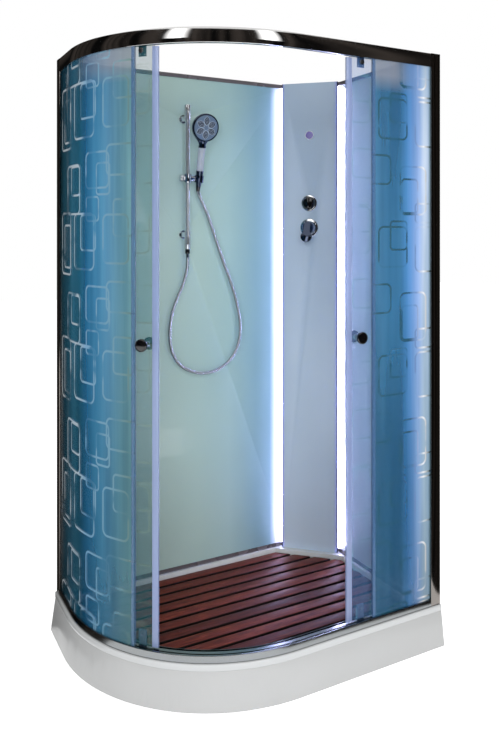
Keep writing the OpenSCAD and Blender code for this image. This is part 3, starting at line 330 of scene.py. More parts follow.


# Left pane: its blue with painted shade, darkest at the far left end, and its print with a painted reflection,
# whitest at that end
leftShades = [(0.0, "#16404e"), (0.2, "#2a6c84"), (0.33, "#3a88a6"), (0.45, "#1f6f8c"), (0.56, "#2b7fb0"),
              (0.68, "#55a4cf"), (0.79, "#6ba8cb"), (0.90, "#74a7b8"), (1.0, "#7aa8ac")]
leftLines = [(0.0, "#f4faff"), (0.42, "#e0f0fb"), (0.55, "#98c8ea"), (0.8, "#84b4cc"), (1.0, "#6c8c82")]
doorShades = [(0.0, "#2f7fa0"), (0.6, "#4f8fa0"), (1.0, "#4a8288")]
doorLines = [(0.0, "#5f9fc4"), (1.0, "#5f7f74")]
# Right pane: its blue with a painted light band towards the post, pale lavender to white, where its print is
# painted white too
rightShades = [(0.0, "#4f88ae"), (0.28, "#3b7aa4"), (0.45, "#3d7ba6"), (0.55, "#4f8fc8"), (0.62, "#72aae8"),
               (0.76, "#b4d0ff"), (0.86, "#e2efff"), (0.92, "#d4e6ff"), (0.955, "#7f9fac"), (1.0, "#6f98a0")]
rightLines = [(0.0, "#2b5d6d"), (0.6, "#265a74"), (0.72, "#7f9fd0"), (0.84, "#ffffff"), (0.95, "#2c5460")]
rightDoorShades = [(0.0, "#7796d0"), (0.5, "#5a90c4"), (1.0, "#4282b4")]

# Each outline: middle along the rim, middle height, half width, half height, corner radius
leftLayout = [
    (-0.070, 0.11, 0.062, 0.110, 0.020), (-0.055, 0.10, 0.040, 0.076, 0.012), (0.020, 0.30, 0.070, 0.085, 0.022),
    (0.045, 0.33, 0.045, 0.050, 0.014), (0.115, 0.12, 0.076, 0.095, 0.024), (0.150, 0.15, 0.050, 0.060, 0.014),
    (0.180, 0.23, 0.038, 0.040, 0.012), (0.205, 0.36, 0.065, 0.060, 0.020), (0.240, 0.33, 0.034, 0.052, 0.012),
    (0.300, 0.13, 0.058, 0.080, 0.022), (0.335, 0.20, 0.042, 0.060, 0.014), (0.335, 0.39, 0.075, 0.050, 0.020),
]
rightLayout = [
    (1.330, 0.10, 0.062, 0.070, 0.020), (1.355, 0.14, 0.036, 0.050, 0.012), (1.420, 0.30, 0.058, 0.085, 0.022),
    (1.405, 0.28, 0.036, 0.060, 0.014), (1.500, 0.09, 0.070, 0.080, 0.022), (1.270, 0.37, 0.050, 0.050, 0.020),
    (1.480, 0.22, 0.050, 0.034, 0.012),
]
doorLayout = [
    (0.385, 0.16, 0.046, 0.075, 0.020), (0.410, 0.20, 0.032, 0.044, 0.012), (0.430, 0.37, 0.060, 0.060, 0.022),
    (0.300, 0.05, 0.060, 0.075, 0.020),
]
rightDoorLayout = [
    (1.190, 0.16, 0.050, 0.080, 0.022), (1.215, 0.20, 0.034, 0.046, 0.012), (1.235, 0.39, 0.070, 0.050, 0.022),
]

finishes = {
    "acrylic": mouldedPlastic("glossAcrylic", "#cccecf", 0.2, depth=0.0, coat=0.2),
    "skirt": mouldedPlastic("skirtPanel", "#c0c1c1", 0.35, depth=0.0, coat=0.1),
    "steel_frame": brushedMetal("zincSteel", "#a9abad", 0.42, (1, 1, 30)),
    "foot_metal": brushedMetal("platedSteel", "#8f9092", 0.3, (1, 30, 1)),
    "chrome": polishedMetal("brightChrome", "#cfd2d8", 0.03, 0.09),
    "grey_plastic": mouldedPlastic("greyMoulding", "#a4a5a8", 0.4),
    "white_plastic": mouldedPlastic("whiteMoulding", "#dfe0de", 0.38),
    "deck_wood": darkWood(),
    "black_rubber": mouldedPlastic("blackRubber", "#141415", 0.7, 900.0, 0.25),
    "rail_chrome": polishedMetal("railChrome", "#dad9d8", 0.05, 0.10),
    "patterned_glass": satinGlass("satinGlassLeft", leftShades, leftLines, leftLayout, 0.70, 0.60, (-0.156, 0.380),
                                  (0.35, 0.8)),
    "door_glass": satinGlass("satinGlassDoor", doorShades, doorLines, doorLayout, 0.30, 0.36, (-0.12, 0.452)),
    "clear_seal": clearStrip("clearSeal", "#5f86b8", 0.35),
    "black_knob": mouldedPlastic("blackGloss", "#060608", 0.1, 400.0, 0.01, 0.8),
    "wall_glass": paleWallGlass(),
    "dark_profile": polishedMetal("darkProfile", "#7a757a", 0.22, 0.32, metal=0.5),
    "column_shell": columnShell(),
    "light": litDiffuser(),
    "plaque": mouldedPlastic("plaqueEnamel", "#4b3f94", 0.2, 300.0, 0.03, 0.6),
    "brass": brushedMetal("castBrass", "#b0924f", 0.35, (30, 1, 1)),
    "plated_plastic": polishedMetal("platedMoulding", "#c4c8d2", 0.05, 0.12, metal=0.75),
    "face_plastic": mouldedPlastic("sprayFace", "#5f738b", 0.3),
    "hose_metal": polishedMetal("hoseSleeve", "#c4c8cf", 0.08, 0.16, 40.0),
}
rightPane = satinGlass("satinGlassRight", rightShades, rightLines, rightLayout, 0.68, 0.66, (1.242, 1.511),
                       (0.75, 0.35))
rightDoorPane = satinGlass("satinGlassRightDoor", rightDoorShades, doorLines, rightDoorLayout, 0.30, 0.34,
                           (1.152, 1.462))
edgeStrip = clearStrip("lavenderStrip", "#9cadd8", 0.66)
handleShell = clearStrip("handleShell", "#c6cbdc", 0.5)
# Copies of chrome with painted shade, their colour darkened and tinted for the dark studio they mirror: for the
# hand shower and the mixer, the plaque's rim, the posts and the sill rail
paintedShadeChrome = polishedMetal("paintedShadeChrome", "#4a5264", 0.05, 0.1)
postChrome = polishedMetal("postChrome", "#85807c", 0.06, 0.14)
sillChrome = polishedMetal("sillChrome", "#8f9293", 0.16, 0.24)
brightTube = polishedMetal("brightTube", "#cfd3d6", 0.06, 0.12, metal=0.75)
paintedShadeGreyChrome = polishedMetal("paintedShadeGreyChrome", "#8a8f9a", 0.05, 0.1)
smokedGuide = mouldedPlastic("smokedGuide", "#56627a", 0.35)
print("finishes made:", len(bpy.data.materials))


# Pieces
def addPiece(name, mesh, node, material=None, rides=True):
    piece = bpy.data.objects.new(name, mesh)
    scene.collection.objects.link(piece)
    if not mesh.materials:
        mesh.materials.append(material or finishes[slotOf[node]])
    if rides:
        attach(piece, bodyOf[node])
    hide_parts(node)
    return piece


def baked(thing):
    graph = bpy.context.evaluated_depsgraph_get()
    mesh = bpy.data.meshes.new_from_object(thing.evaluated_get(graph))
    bpy.data.objects.remove(thing)
    return mesh


def smoothed(mesh, angle=35):
    mesh.polygons.foreach_set("use_smooth", [True] * len(mesh.polygons))
    mesh.set_sharp_from_angle(angle=math.radians(angle))
    return mesh


# A copy of a node's solid with its edges eased
def easedNode(node, width, material):
    values = {"segments": 2, "angle": 28, "weld": 1e-5, "flat": 0.6}
    mesh = nodes[node].data.copy()
    mesh.materials.clear()
    work = bmesh.new()
    work.from_mesh(mesh)
    bmesh.ops.remove_doubles(work, verts=work.verts, dist=values["weld"])
    bmesh.ops.dissolve_limit(work, angle_limit=math.radians(values["flat"]), verts=work.verts, edges=work.edges)
    work.to_mesh(mesh)
    work.free()
    thing = bpy.data.objects.new(node + "Work", mesh)
    scene.collection.objects.link(thing)
    bevel = thing.modifiers.new("ease", "BEVEL")
    bevel.width = width
    bevel.segments = values["segments"]
    bevel.limit_method = "ANGLE"
    bevel.angle_limit = math.radians(values["angle"])
    addPiece(node + "Eased", smoothed(baked(thing), 40), node, material)


# Point of the plan at distance u inward from the rim and s along it, from the left end of the corner
def rimPoint(s, u, bent=False):
    if s < 0 and not bent:
        return cabin["left"] + u, cabin["cornerY"] - s
    if s < quarter:
        angle = math.pi + s / cabin["cornerRadius"]
        reach = cabin["cornerRadius"] - u
        return cabin["cornerX"] + reach * math.cos(angle), cabin["cornerY"] + reach * math.sin(angle)
    return cabin["cornerX"] + s - quarter, cabin["front"] + u


def rimStops(start, end, step=0.012, bent=False):
    stops = {start, end}
    for edge in (0.0, quarter):
        if start < edge < end:
            stops.add(edge)
    first, last = start if bent else max(start, 0.0), min(end, quarter)
    count = max(1, round((last - first) / step))
    stops.update(first + (last - first) * i / count for i in range(count + 1) if first < last)
    return sorted(stops)


# Closed pane between two heights, with its own map in metres along the rim and up.
# A bent one stays an arc before the corner's left end too.
def paneMesh(name, start, end, u, low, high, bent=False):
    mesh = bpy.data.meshes.new(name)
    work = bmesh.new()
    layer = work.loops.layers.uv.new("pane")
    stops = rimStops(start, end, bent=bent)
    rings = []
    for s in stops:
        outer, inner = rimPoint(s, u, bent), rimPoint(s, u + cabin["glass"], bent)
        corners = ((outer, low), (outer, high), (inner, high), (inner, low))
        rings.append([work.verts.new((*p, z)) for p, z in corners])
    faces = []
    for i in range(len(stops) - 1):
        for j in range(4):
            k = (j + 1) % 4
            corners = ((i, j), (i + 1, j), (i + 1, k), (i, k))
            faces.append((work.faces.new([rings[a][b] for a, b in corners]), corners))
    for i, order in ((0, (0, 1, 2, 3)), (len(stops) - 1, (3, 2, 1, 0))):
        faces.append((work.faces.new([rings[i][j] for j in order]), [(i, j) for j in order]))
    for face, corners in faces:
        for loop, (i, j) in zip(face.loops, corners):
            loop[layer].uv = (stops[i], loop.vert.co.z)
    bmesh.ops.recalc_face_normals(work, faces=work.faces)
    work.to_mesh(mesh)
    work.free()
    return smoothed(mesh, 40)


def makePanes():
    values = {"fixLow": 0.153, "fixHigh": 2.120, "doorLow": 0.173, "doorHigh": 2.108,
              "leftFixed": 0.38013, "rightFixed": 1.24248, "leftLead": 0.452, "leftTrail": -0.1198,
              "rightLead": 1.15248, "rightTrail": 1.46198, "inPost": 0.012}
    addPiece("fixedPaneLeft", paneMesh("fixedPaneLeft", runStart - values["inPost"], values["leftFixed"],
                                       cabin["fixU"], values["fixLow"], values["fixHigh"]), "fixed_glass_left")
    addPiece("fixedPaneRight", paneMesh("fixedPaneRight", values["rightFixed"], runEnd + values["inPost"],
                                        cabin["fixU"], values["fixLow"], values["fixHigh"]),
             "fixed_glass_right", rightPane)
    addPiece("doorPaneLeft", paneMesh("doorPaneLeft", values["leftTrail"], values["leftLead"], cabin["doorU"],
                                      values["doorLow"], values["doorHigh"], bent=True), "door_glass_left")
    addPiece("doorPaneRight", paneMesh("doorPaneRight", values["rightLead"], values["rightTrail"], cabin["doorU"],
                                       values["doorLow"], values["doorHigh"]), "door_glass_right", rightDoorPane)


makePanes()
print("panes made")


# Sweeps a closed profile along a path: profile x points away from the inside, y points down
def sweepTree():
    tree = bpy.data.node_groups.new("profileSweep", "GeometryNodeTree")
    face = tree.interface
    face.new_socket("Geometry", in_out="INPUT", socket_type="NodeSocketGeometry")
    sockets = {
        "profile": face.new_socket("Profile", in_out="INPUT", socket_type="NodeSocketObject").identifier,
        "material": face.new_socket("Material", in_out="INPUT", socket_type="NodeSocketMaterial").identifier,
    }
    face.new_socket("Geometry", in_out="OUTPUT", socket_type="NodeSocketGeometry")
    given = tree.nodes.new("NodeGroupInput")
    level = addNode(tree, "GeometryNodeSetCurveNormal", {0: given.outputs[0]}, mode="Z_UP")
    shape = addNode(tree, "GeometryNodeObjectInfo", {"Object": given.outputs["Profile"]})
    swept = addNode(tree, "GeometryNodeCurveToMesh", {"Curve": level.outputs[0], "Fill Caps": True,
                                                      "Profile Curve": shape.outputs["Geometry"]})
    real = addNode(tree, "GeometryNodeRealizeInstances", {0: swept.outputs[0]})
    painted = addNode(tree, "GeometryNodeSetMaterial", {"Geometry": real.outputs[0],
                                                        "Material": given.outputs["Material"]})
    addNode(tree, "NodeGroupOutput", {0: painted.outputs[0]})
    return tree, sockets


def lineObject(name, points, closed=False):
    data = bpy.data.curves.new(name, "CURVE")
    data.dimensions = "3D"
    spline = data.splines.new("POLY")
    spline.points.add(len(points) - 1)
    for point, place in zip(spline.points, points):
        point.co = (*place, 1)
    spline.use_cyclic_u = closed
    thing = bpy.data.objects.new(name, data)
    scene.collection.objects.link(thing)
    return thing


sweep, sweepSockets = sweepTree()


def sweptPiece(name, node, profile, material):
    path = lineObject(name + "Path", [(*rimPoint(s, 0), 0) for s in rimStops(runStart, runEnd, 0.010)])
    outline = lineObject(name + "Profile", [(-u / 1000, -z / 1000, 0) for u, z in profile], True)
    modifier = path.modifiers.new("sweep", "NODES")
    modifier.node_group = sweep
    modifier[sweepSockets["profile"]] = outline
    modifier[sweepSockets["material"]] = material
    mesh = baked(path)
    bpy.data.objects.remove(outline)
    work = bmesh.new()
    work.from_mesh(mesh)
    bmesh.ops.remove_doubles(work, verts=work.verts, dist=1e-6)
    bmesh.ops.recalc_face_normals(work, faces=work.faces)
    work.to_mesh(mesh)
    work.free()
    addPiece(name, smoothed(mesh, 30), node)


def makeRails():
    # (distance inward, height) in millimetres, round each section
    headProfile = [(6, 2101.5), (6.6, 2100.4), (8, 2100), (11.7, 2100), (11.7, 2147.5), (17.3, 2147.5),
                   (17.3, 2100), (20, 2100), (20, 2147.5), (39.5, 2147.5), (39.5, 2114.5), (32, 2114.5),
                   (32, 2112), (42, 2112), (42, 2149), (41, 2150), (8.5, 2150), (6.8, 2149.4), (6, 2147.8)]
    sillProfile = [(6, 145), (42, 145), (42, 169), (41, 170), (39.5, 170), (39.5, 151), (30.5, 151), (30.5, 170),
                   (17.3, 170), (17.3, 153), (11.7, 153), (11.7, 170), (8.2, 170), (6.7, 169.5), (6, 168)]
    sweptPiece("headRailBar", "head_rail", headProfile, finishes["rail_chrome"])
    sweptPiece("sillRailBar", "sill_rail", sillProfile, sillChrome)


makeRails()
print("rails swept")


# Turned shape from (radius, height) pairs, round local Z
def latheMesh(name, profile, sides=64, materialAt=None):
    mesh = bpy.data.meshes.new(name)
    work = bmesh.new()
    rings = []
    for radius, height in profile:
        if radius < 1e-7:
            rings.append([work.verts.new((0, 0, height))])
        else:
            rings.append([work.verts.new((radius * math.cos(2 * math.pi * i / sides),
                                          radius * math.sin(2 * math.pi * i / sides), height))
                          for i in range(sides)])
    for row, (low, high) in enumerate(zip(rings, rings[1:])):
        for i in range(sides):
            k = (i + 1) % sides
            corners = [low[i % len(low)], low[k % len(low)], high[k % len(high)], high[i % len(high)]]
            corners = list(dict.fromkeys(corners))
            if len(corners) > 2:
                face = work.faces.new(corners)
                face.material_index = materialAt[row] if materialAt else 0
    for ring in (rings[0], rings[-1]):
        if len(ring) > 1:
            work.faces.new(ring)
    bmesh.ops.recalc_face_normals(work, faces=work.faces)
    work.to_mesh(mesh)
    work.free()
    return smoothed(mesh, 32)


def joined(name, meshes, materials):
    whole = bmesh.new()
    for mesh, turn, material in meshes:
        piece = mesh.copy()
        if material is not None:
            piece.polygons.foreach_set("material_index", [material] * len(piece.polygons))
        piece.transform(turn)
        whole.from_mesh(piece)
        bpy.data.meshes.remove(piece)
    result = bpy.data.meshes.new(name)
    whole.to_mesh(result)
    whole.free()
    for material in materials:
        result.materials.append(material)
    return smoothed(result, 32)


def rimFrame(s, u, z):
    x, y = rimPoint(s, u)
    x2, y2 = rimPoint(s, u + 0.01)
    inward = Vector((x2 - x, y2 - y, 0)).normalized()
    along = inward.cross(Vector((0, 0, 1)))
    return Matrix(((along.x, 0, inward.x, x), (along.y, 0, inward.y, y), (0, 1, 0, z), (0, 0, 0, 1)))


def makeKnobs():
    values = {"height": 1.141, "back": 0.050, "washer": 0.0002, "leftEdge": 0.466, "rightEdge": 0.204}
    # black cap on a bright stem with a black groove, foot at height 0
    profile = [(0.0, 0.0), (0.0125, 0.0), (0.0125, 0.0040), (0.0116, 0.0048), (0.0125, 0.0056), (0.0125, 0.0150),
               (0.0185, 0.018), (0.0207, 0.0195), (0.021, 0.0215), (0.021, 0.025), (0.0203, 0.0268),
               (0.0182, 0.0283), (0.0172, 0.0283), (0.0168, 0.0276), (0.012, 0.0281), (0.0, 0.0284)]
    ring = [1, 1, 0, 0, 1, 0, 0, 0, 0, 0, 0, 0, 0, 0, 0]
    pull = latheMesh("pull", profile, 64, ring)
    bolt = latheMesh("bolt", [(0, -0.001), (0.004, -0.001), (0.004, 0.006), (0, 0.006)], 24)
    for side, s in (("left", values["leftEdge"] - values["back"]),
                    ("right", quarter + values["rightEdge"] - cabin["cornerX"] + values["back"])):
        through = rimFrame(s, cabin["doorU"], values["height"])
        outside = through @ Matrix.Rotation(math.pi, 4, "Y")
        inside = rimFrame(s, cabin["doorU"] + cabin["glass"] + values["washer"], values["height"])
        mesh = joined("pullKnob" + side, [(pull, outside, None), (pull, inside, None), (bolt, through, 0)],
                      [finishes["black_knob"], finishes["chrome"]])
        addPiece("pullKnob" + side.capitalize(), mesh, "door_knob_" + side)


makeKnobs()
print("knobs turned")


# Widths in metres by which the edges of the plain solids are eased
easing = {
    "tray": 0.003, "tray_skirt": 0.0008, "tray_frame": 0.001, "tray_feet": 0.0008, "waste_flange": 0.0006,
    "waste_cover": 0.0008, "waste_trap": 0.001, "deck_slats": 0.0028, "deck_battens": 0.002, "deck_pads": 0.0008,
    "left_post": 0.0006, "right_post": 0.0006, "long_wall_frame": 0.0008, "short_wall_frame": 0.0008,
    "long_wall_glass": 0.0006, "short_wall_glass": 0.0006, "column_cover": 0.0004, "column_frame": 0.0006,
    "light_strips": 0.0008, "mixer_valve": 0.0005, "mixer_plate": 0.0008, "diverter_plate": 0.0008,
    "hangers_left": 0.0004, "hangers_right": 0.0004, "guides_left": 0.0006, "guides_right": 0.0006,
    "roller_left_front": 0.0004, "roller_left_rear": 0.0004, "roller_right_front": 0.0004,
    "roller_right_rear": 0.0004, "riser_brackets": 0.0006, "riser_rail": 0.0006, "feed_pipe": 0.0004,
    "slider": 0.0008, "clamp_knob": 0.0008, "handset_cradle": 0.0008, "post_screws": 0.0003,
    "mixer_dome": 0.0006, "mixer_lever": 0.0012, "diverter_knob": 0.001,
    "fixed_seal_left": 0.0002, "fixed_seal_right": 0.0002, "magnet_strip_left": 0.0006,
    "magnet_strip_right": 0.0006, "rear_seal_left": 0.0002, "rear_seal_right": 0.0002,
    "hose_nut_rail": 0.001, "hose_nut_handset": 0.001,
}
# Finishes that differ from the one of the node's slot
ownFinish = {
    "magnet_strip_left": edgeStrip, "magnet_strip_right": edgeStrip, "guides_left": smokedGuide,
    "guides_right": smokedGuide, "diverter_knob": finishes["black_knob"], "handset_cradle": paintedShadeChrome,
    "mixer_dome": paintedShadeGreyChrome, "mixer_lever": paintedShadeChrome, "left_post": postChrome, "right_post": postChrome,
    "riser_rail": brightTube,
}
for node, width in easing.items():
    easedNode(node, width, ownFinish.get(node))
print("solids eased:", len(easing))


# Plain round plaque: a shallow dished disc with a chrome rim, its colour greyed with painted shade
def makePlaque():
    values = {"radius": 0.019, "height": 1.917, "rise": 0.002}
    r, h = values["radius"], values["rise"]
    profile = [(0, 0), (r, 0), (r, h * 0.6), (r - 0.0008, h), (r - 0.0022, h), (r - 0.003, h * 0.6), (0, h * 0.75)]
    turn = Matrix.Translation(cabin["column"] + Vector((0, 0, values["height"]))) @ Matrix.Rotation(
        math.radians(-45), 4, "Z") @ Matrix.Rotation(math.radians(90), 4, "X")
    mesh = joined("plainPlaque", [(latheMesh("disc", profile, 64, [1, 1, 1, 1, 1, 0]), turn, None)],
                  [finishes["plaque"], paintedShadeGreyChrome])
    addPiece("plainPlaque", mesh, "plaque")


makePlaque()


# Hand shower, in its own frame: Z along the handle, -Y out of the spray face
def makeHandset():
    values = {"pivot": (-0.045, 0.313, 1.716), "tilt": 14, "head": 0.208, "radius": 0.056, "flat": 0.42}
    frameTurn = Matrix.Translation(values["pivot"]) @ Matrix.Rotation(math.radians(values["tilt"]), 4, "X")
    headTurn = frameTurn @ Matrix.Translation((0, 0, values["head"])) @ Matrix.Rotation(math.radians(90), 4, "X")
    r = values["radius"]
    cone = latheMesh("cone", [(0.004, -0.031), (0.0100, -0.031), (0.0105, -0.030), (0.0149, 0.030),
                              (0.0149, 0.033), (0.004, 0.033)], 48)
    grip = latheMesh("grip", [(0.004, 0.033), (0.0143, 0.033), (0.0148, 0.035), (0.0146, 0.070), (0.0140, 0.095),
                              (0.0142, 0.120), (0.0148, 0.126), (0.004, 0.126)], 48)
    neck = latheMesh("neck", [(0.004, 0.126), (0.0149, 0.126), (0.0149, 0.134), (0.0138, 0.137), (0.0146, 0.150),
                              (0.0149, 0.157), (0.004, 0.157)], 48)
    flare = latheMesh("flare", [(0.004, 0.1375), (0.0146, 0.1375), (0.0185, 0.147), (0.0265, 0.157),
                                (0.0360, 0.166), (0.0300, 0.172), (0.004, 0.172)], 48)
    back = latheMesh("back", [(0, -0.010), (0.024, -0.0098), (0.029, -0.0088), (0.040, -0.0040), (0.049, 0.0015),
                              (0.0545, 0.006), (r, 0.0105), (r, 0.0165), (0.0553, 0.0195), (0.0535, 0.0216),
                              (0.0512, 0.0218), (0.0504, 0.0205), (0.0503, 0.0152), (0, 0.0152)], 96)
    mesh = joined("handShower", [(cone, frameTurn, 0), (grip, frameTurn, 1), (neck, frameTurn, 0),
                                 (flare, frameTurn @ Matrix.Diagonal((1, values["flat"], 1, 1)), 0),
                                 (back, headTurn, 0)], [paintedShadeChrome, handleShell])
    addPiece("handShower", mesh, "handset_body")
    return headTurn


headTurn = makeHandset()


# Nozzles of one petal set out on a grid of points, repeated round the face
def nozzleTree():
    tree = bpy.data.node_groups.new("petalNozzles", "GeometryNodeTree")
    face = tree.interface
    face.new_socket("Geometry", in_out="INPUT", socket_type="NodeSocketGeometry")
    sockets = {}
    for name, kind in (("Petals", "NodeSocketInt"), ("Nozzle Radius", "NodeSocketFloat"),
                       ("Nozzle Height", "NodeSocketFloat")):
        sockets[name] = face.new_socket(name, in_out="INPUT", socket_type=kind).identifier
    sockets["material"] = face.new_socket("Material", in_out="INPUT", socket_type="NodeSocketMaterial").identifier
    face.new_socket("Geometry", in_out="OUTPUT", socket_type="NodeSocketGeometry")
    given = tree.nodes.new("NodeGroupInput")
    tip = addNode(tree, "GeometryNodeMeshCone", {"Vertices": 10, "Radius Top": 0.0009,
                                                 "Radius Bottom": given.outputs["Nozzle Radius"],
                                                 "Depth": given.outputs["Nozzle Height"]})
    petal = addNode(tree, "GeometryNodeInstanceOnPoints", {"Points": given.outputs["Geometry"],
                                                           "Instance": tip.outputs[0]})
    count = given.outputs["Petals"]
    ring = addNode(tree, "GeometryNodeMeshCircle", {"Vertices": count, "Radius": 0.000001})
    index = addNode(tree, "GeometryNodeInputIndex").outputs[0]
    angle = calc(tree, "MULTIPLY", index, calc(tree, "DIVIDE", 2 * math.pi, count))
    turn = addNode(tree, "ShaderNodeCombineXYZ", {"Z": angle})
    whole = addNode(tree, "GeometryNodeInstanceOnPoints", {"Points": ring.outputs[0], "Instance": petal.outputs[0],
                                                           "Rotation": turn.outputs[0]})
    real = addNode(tree, "GeometryNodeRealizeInstances", {0: whole.outputs[0]})
    painted = addNode(tree, "GeometryNodeSetMaterial", {"Geometry": real.outputs[0],
                                                        "Material": given.outputs["Material"]})
    addNode(tree, "NodeGroupOutput", {0: painted.outputs[0]})
    return tree, sockets


# Pad with two pointed ends along Y
def petalMesh(width, length, low, high, count=12):
    across = [(-1 + 2 * i / count) for i in range(count + 1)]
    outline = [(width * (1 - t * t), length * t) for t in across]
    outline += [(-x, y) for x, y in outline[-2:0:-1]]
    mesh = bpy.data.meshes.new("petal")
    work = bmesh.new()
    rings = [[work.verts.new((x * k, y * k, z)) for x, y in outline] for k, z in ((1.0, low), (0.94, high))]
    for i in range(len(outline)):
        k = (i + 1) % len(outline)
        work.faces.new((rings[0][i], rings[0][k], rings[1][k], rings[1][i]))
    work.faces.new(rings[0])
    work.faces.new(rings[1])
    bmesh.ops.recalc_face_normals(work, faces=work.faces)
    work.to_mesh(mesh)
    work.free()
    return mesh


def makeSprayFace():
    values = {"radius": 0.0497, "floor": 0.0153, "petals": 6, "petalAt": 0.0272,
              "nozzleRadius": 0.0015, "nozzleHeight": 0.0018, "nozzleAt": 0.0240}
    dish = latheMesh("dish", [(0, values["floor"]), (values["radius"], values["floor"]),
                              (values["radius"], 0.0212), (0.0482, 0.0226), (0.0455, 0.0228), (0.018, 0.0222),
                              (0.012, 0.0216), (0.0, 0.0214)], 96)
    # pointed petals, each a dark pad in a pale rim
    pads = []
    for width, length, low, high, material in ((0.0128, 0.0195, 0.0222, 0.0231, 1),
                                               (0.0112, 0.0172, 0.0230, 0.0234, 2)):
        pad = petalMesh(width, length, low, high)
        for i in range(values["petals"]):
            spin = Matrix.Rotation(math.radians(360 / values["petals"] * i), 4, "Z")
            pads.append((pad, headTurn @ spin @ Matrix.Translation((0, values["petalAt"], 0)), material))
    spots = [(x, y, values["nozzleAt"]) for x, y in (
        (0, 0.0160), (0.0034, 0.0215), (-0.0034, 0.0215), (0, 0.0262), (0.0062, 0.0275), (-0.0062, 0.0275),
        (0.0028, 0.0325), (-0.0028, 0.0325), (0, 0.0385))]
    data = bpy.data.meshes.new("nozzleSpots")
    data.from_pydata(spots, [], [])
    thing = bpy.data.objects.new("nozzleSpots", data)
    scene.collection.objects.link(thing)
    tree, sockets = nozzleTree()
    modifier = thing.modifiers.new("nozzles", "NODES")
    modifier.node_group = tree
    modifier[sockets["Petals"]] = values["petals"]
    modifier[sockets["Nozzle Radius"]] = values["nozzleRadius"]
    modifier[sockets["Nozzle Height"]] = values["nozzleHeight"]
    modifier[sockets["material"]] = finishes["face_plastic"]
    tips = baked(thing)
    pale = mouldedPlastic("petalRim", "#b4c2d0", 0.3)
    dark = mouldedPlastic("petalPad", "#2c3648", 0.4)
    mesh = joined("sprayFace", [(dish, headTurn, 0), *pads, (tips, headTurn, 1)],
                  [finishes["face_plastic"], pale, dark])
    addPiece("sprayFace", mesh, "handset_face")


makeSprayFace()
print("hand shower made")


# Hose: a ribbed sleeve along the route of the part's source
hose = {
    "diameter": 0.014, "pitch": 0.0042, "groove": (0.0, 0.0002, 0.0009, 0.0002), "sides": 14, "plainRings": 16,
    "tilt": 14, "fine": 24,
    "points": [(-95, 313, 1415), (-95, 313, 1385), (-98, 313, 1350), (-115, 314, 1290), (-142, 315, 1230),
               (-162, 316, 1166), (-169, 317, 1099), (-160, 318, 1032), (-127, 318, 974), (-70, 318, 940),
               (-6, 318, 930), (58, 318, 948), (108, 318, 990), (136, 318, 1050), (141, 318, 1116),
               (131, 318, 1182), (114, 318, 1248), (91, 318, 1312), (66, 319, 1376), (43, 320, 1440),
               (20, 321, 1504), (-3, 322, 1568), (-25, 323, 1616), (-45, 325.46, 1666.03)],
}


def hoseLine(step):
    points = [Vector(p) / 1000 for p in hose["points"]]
    tilt = math.radians(hose["tilt"])
    points = [points[0] + Vector((0, 0, 0.03))] + points + [
        points[-1] + 0.04 * Vector((0, -math.sin(tilt), math.cos(tilt)))]
    fine = []
    for a, b, c, d in zip(points, points[1:], points[2:], points[3:]):
        for i in range(hose["fine"]):
            t = i / hose["fine"]
            fine.append(0.5 * (2 * b + (c - a) * t + (2 * a - 5 * b + 4 * c - d) * t ** 2
                               + (3 * b - a - 3 * c + d) * t ** 3))
    fine.append(points[-2])
    run = [0.0]
    for a, b in zip(fine, fine[1:]):
        run.append(run[-1] + (b - a).length)
    count = round(run[-1] / step)
    line, k = [], 0
    for i in range(count + 1):
        target = run[-1] * i / count
        while k < len(run) - 2 and run[k + 1] < target:
            k += 1
        line.append(fine[k].lerp(fine[k + 1], (target - run[k]) / (run[k + 1] - run[k])))
    return line, run[-1]


def makeHose():
    groove, sides, plainRings = hose["groove"], hose["sides"], hose["plainRings"]
    line, length = hoseLine(hose["pitch"] / len(groove))
    mesh = bpy.data.meshes.new("hoseSleeve")
    work = bmesh.new()
    rings = []
    for i, place in enumerate(line):
        ahead = (line[min(i + 1, len(line) - 1)] - line[max(i - 1, 0)]).normalized()
        side = ahead.cross(Vector((0, 1, 0))).normalized()
        up = side.cross(ahead)
        plain = i < plainRings or i >= len(line) - plainRings
        r = hose["diameter"] / 2 - (0.0 if plain else groove[i % len(groove)])
        rings.append([work.verts.new(place + r * (math.cos(2 * math.pi * j / sides) * side
                                                  + math.sin(2 * math.pi * j / sides) * up))
                      for j in range(sides)])
    for low, high in zip(rings, rings[1:]):
        for j in range(sides):
            k = (j + 1) % sides
            work.faces.new((low[j], low[k], high[k], high[j]))
    for ring in (rings[0], rings[-1]):
        work.faces.new(ring)
    bmesh.ops.recalc_face_normals(work, faces=work.faces)
    work.to_mesh(mesh)
    work.free()
    piece = addPiece("hoseSleeve", smoothed(mesh, 60), "shower_hose", rides=False)
    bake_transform(piece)
    print("hose length", round(length, 3))


makeHose()


# Studio
def addLamp(name, place, aim, size, power):
    data = bpy.data.lights.new(name, "AREA")
    data.shape = "RECTANGLE"
    data.size, data.size_y = size
    data.energy = power
    lamp = bpy.data.objects.new(name, data)
    lamp.visible_glossy = False
    lamp.location = place
    lamp.rotation_euler = (Vector(aim) - Vector(place)).to_track_quat("-Z", "Y").to_euler()
    scene.collection.objects.link(lamp)


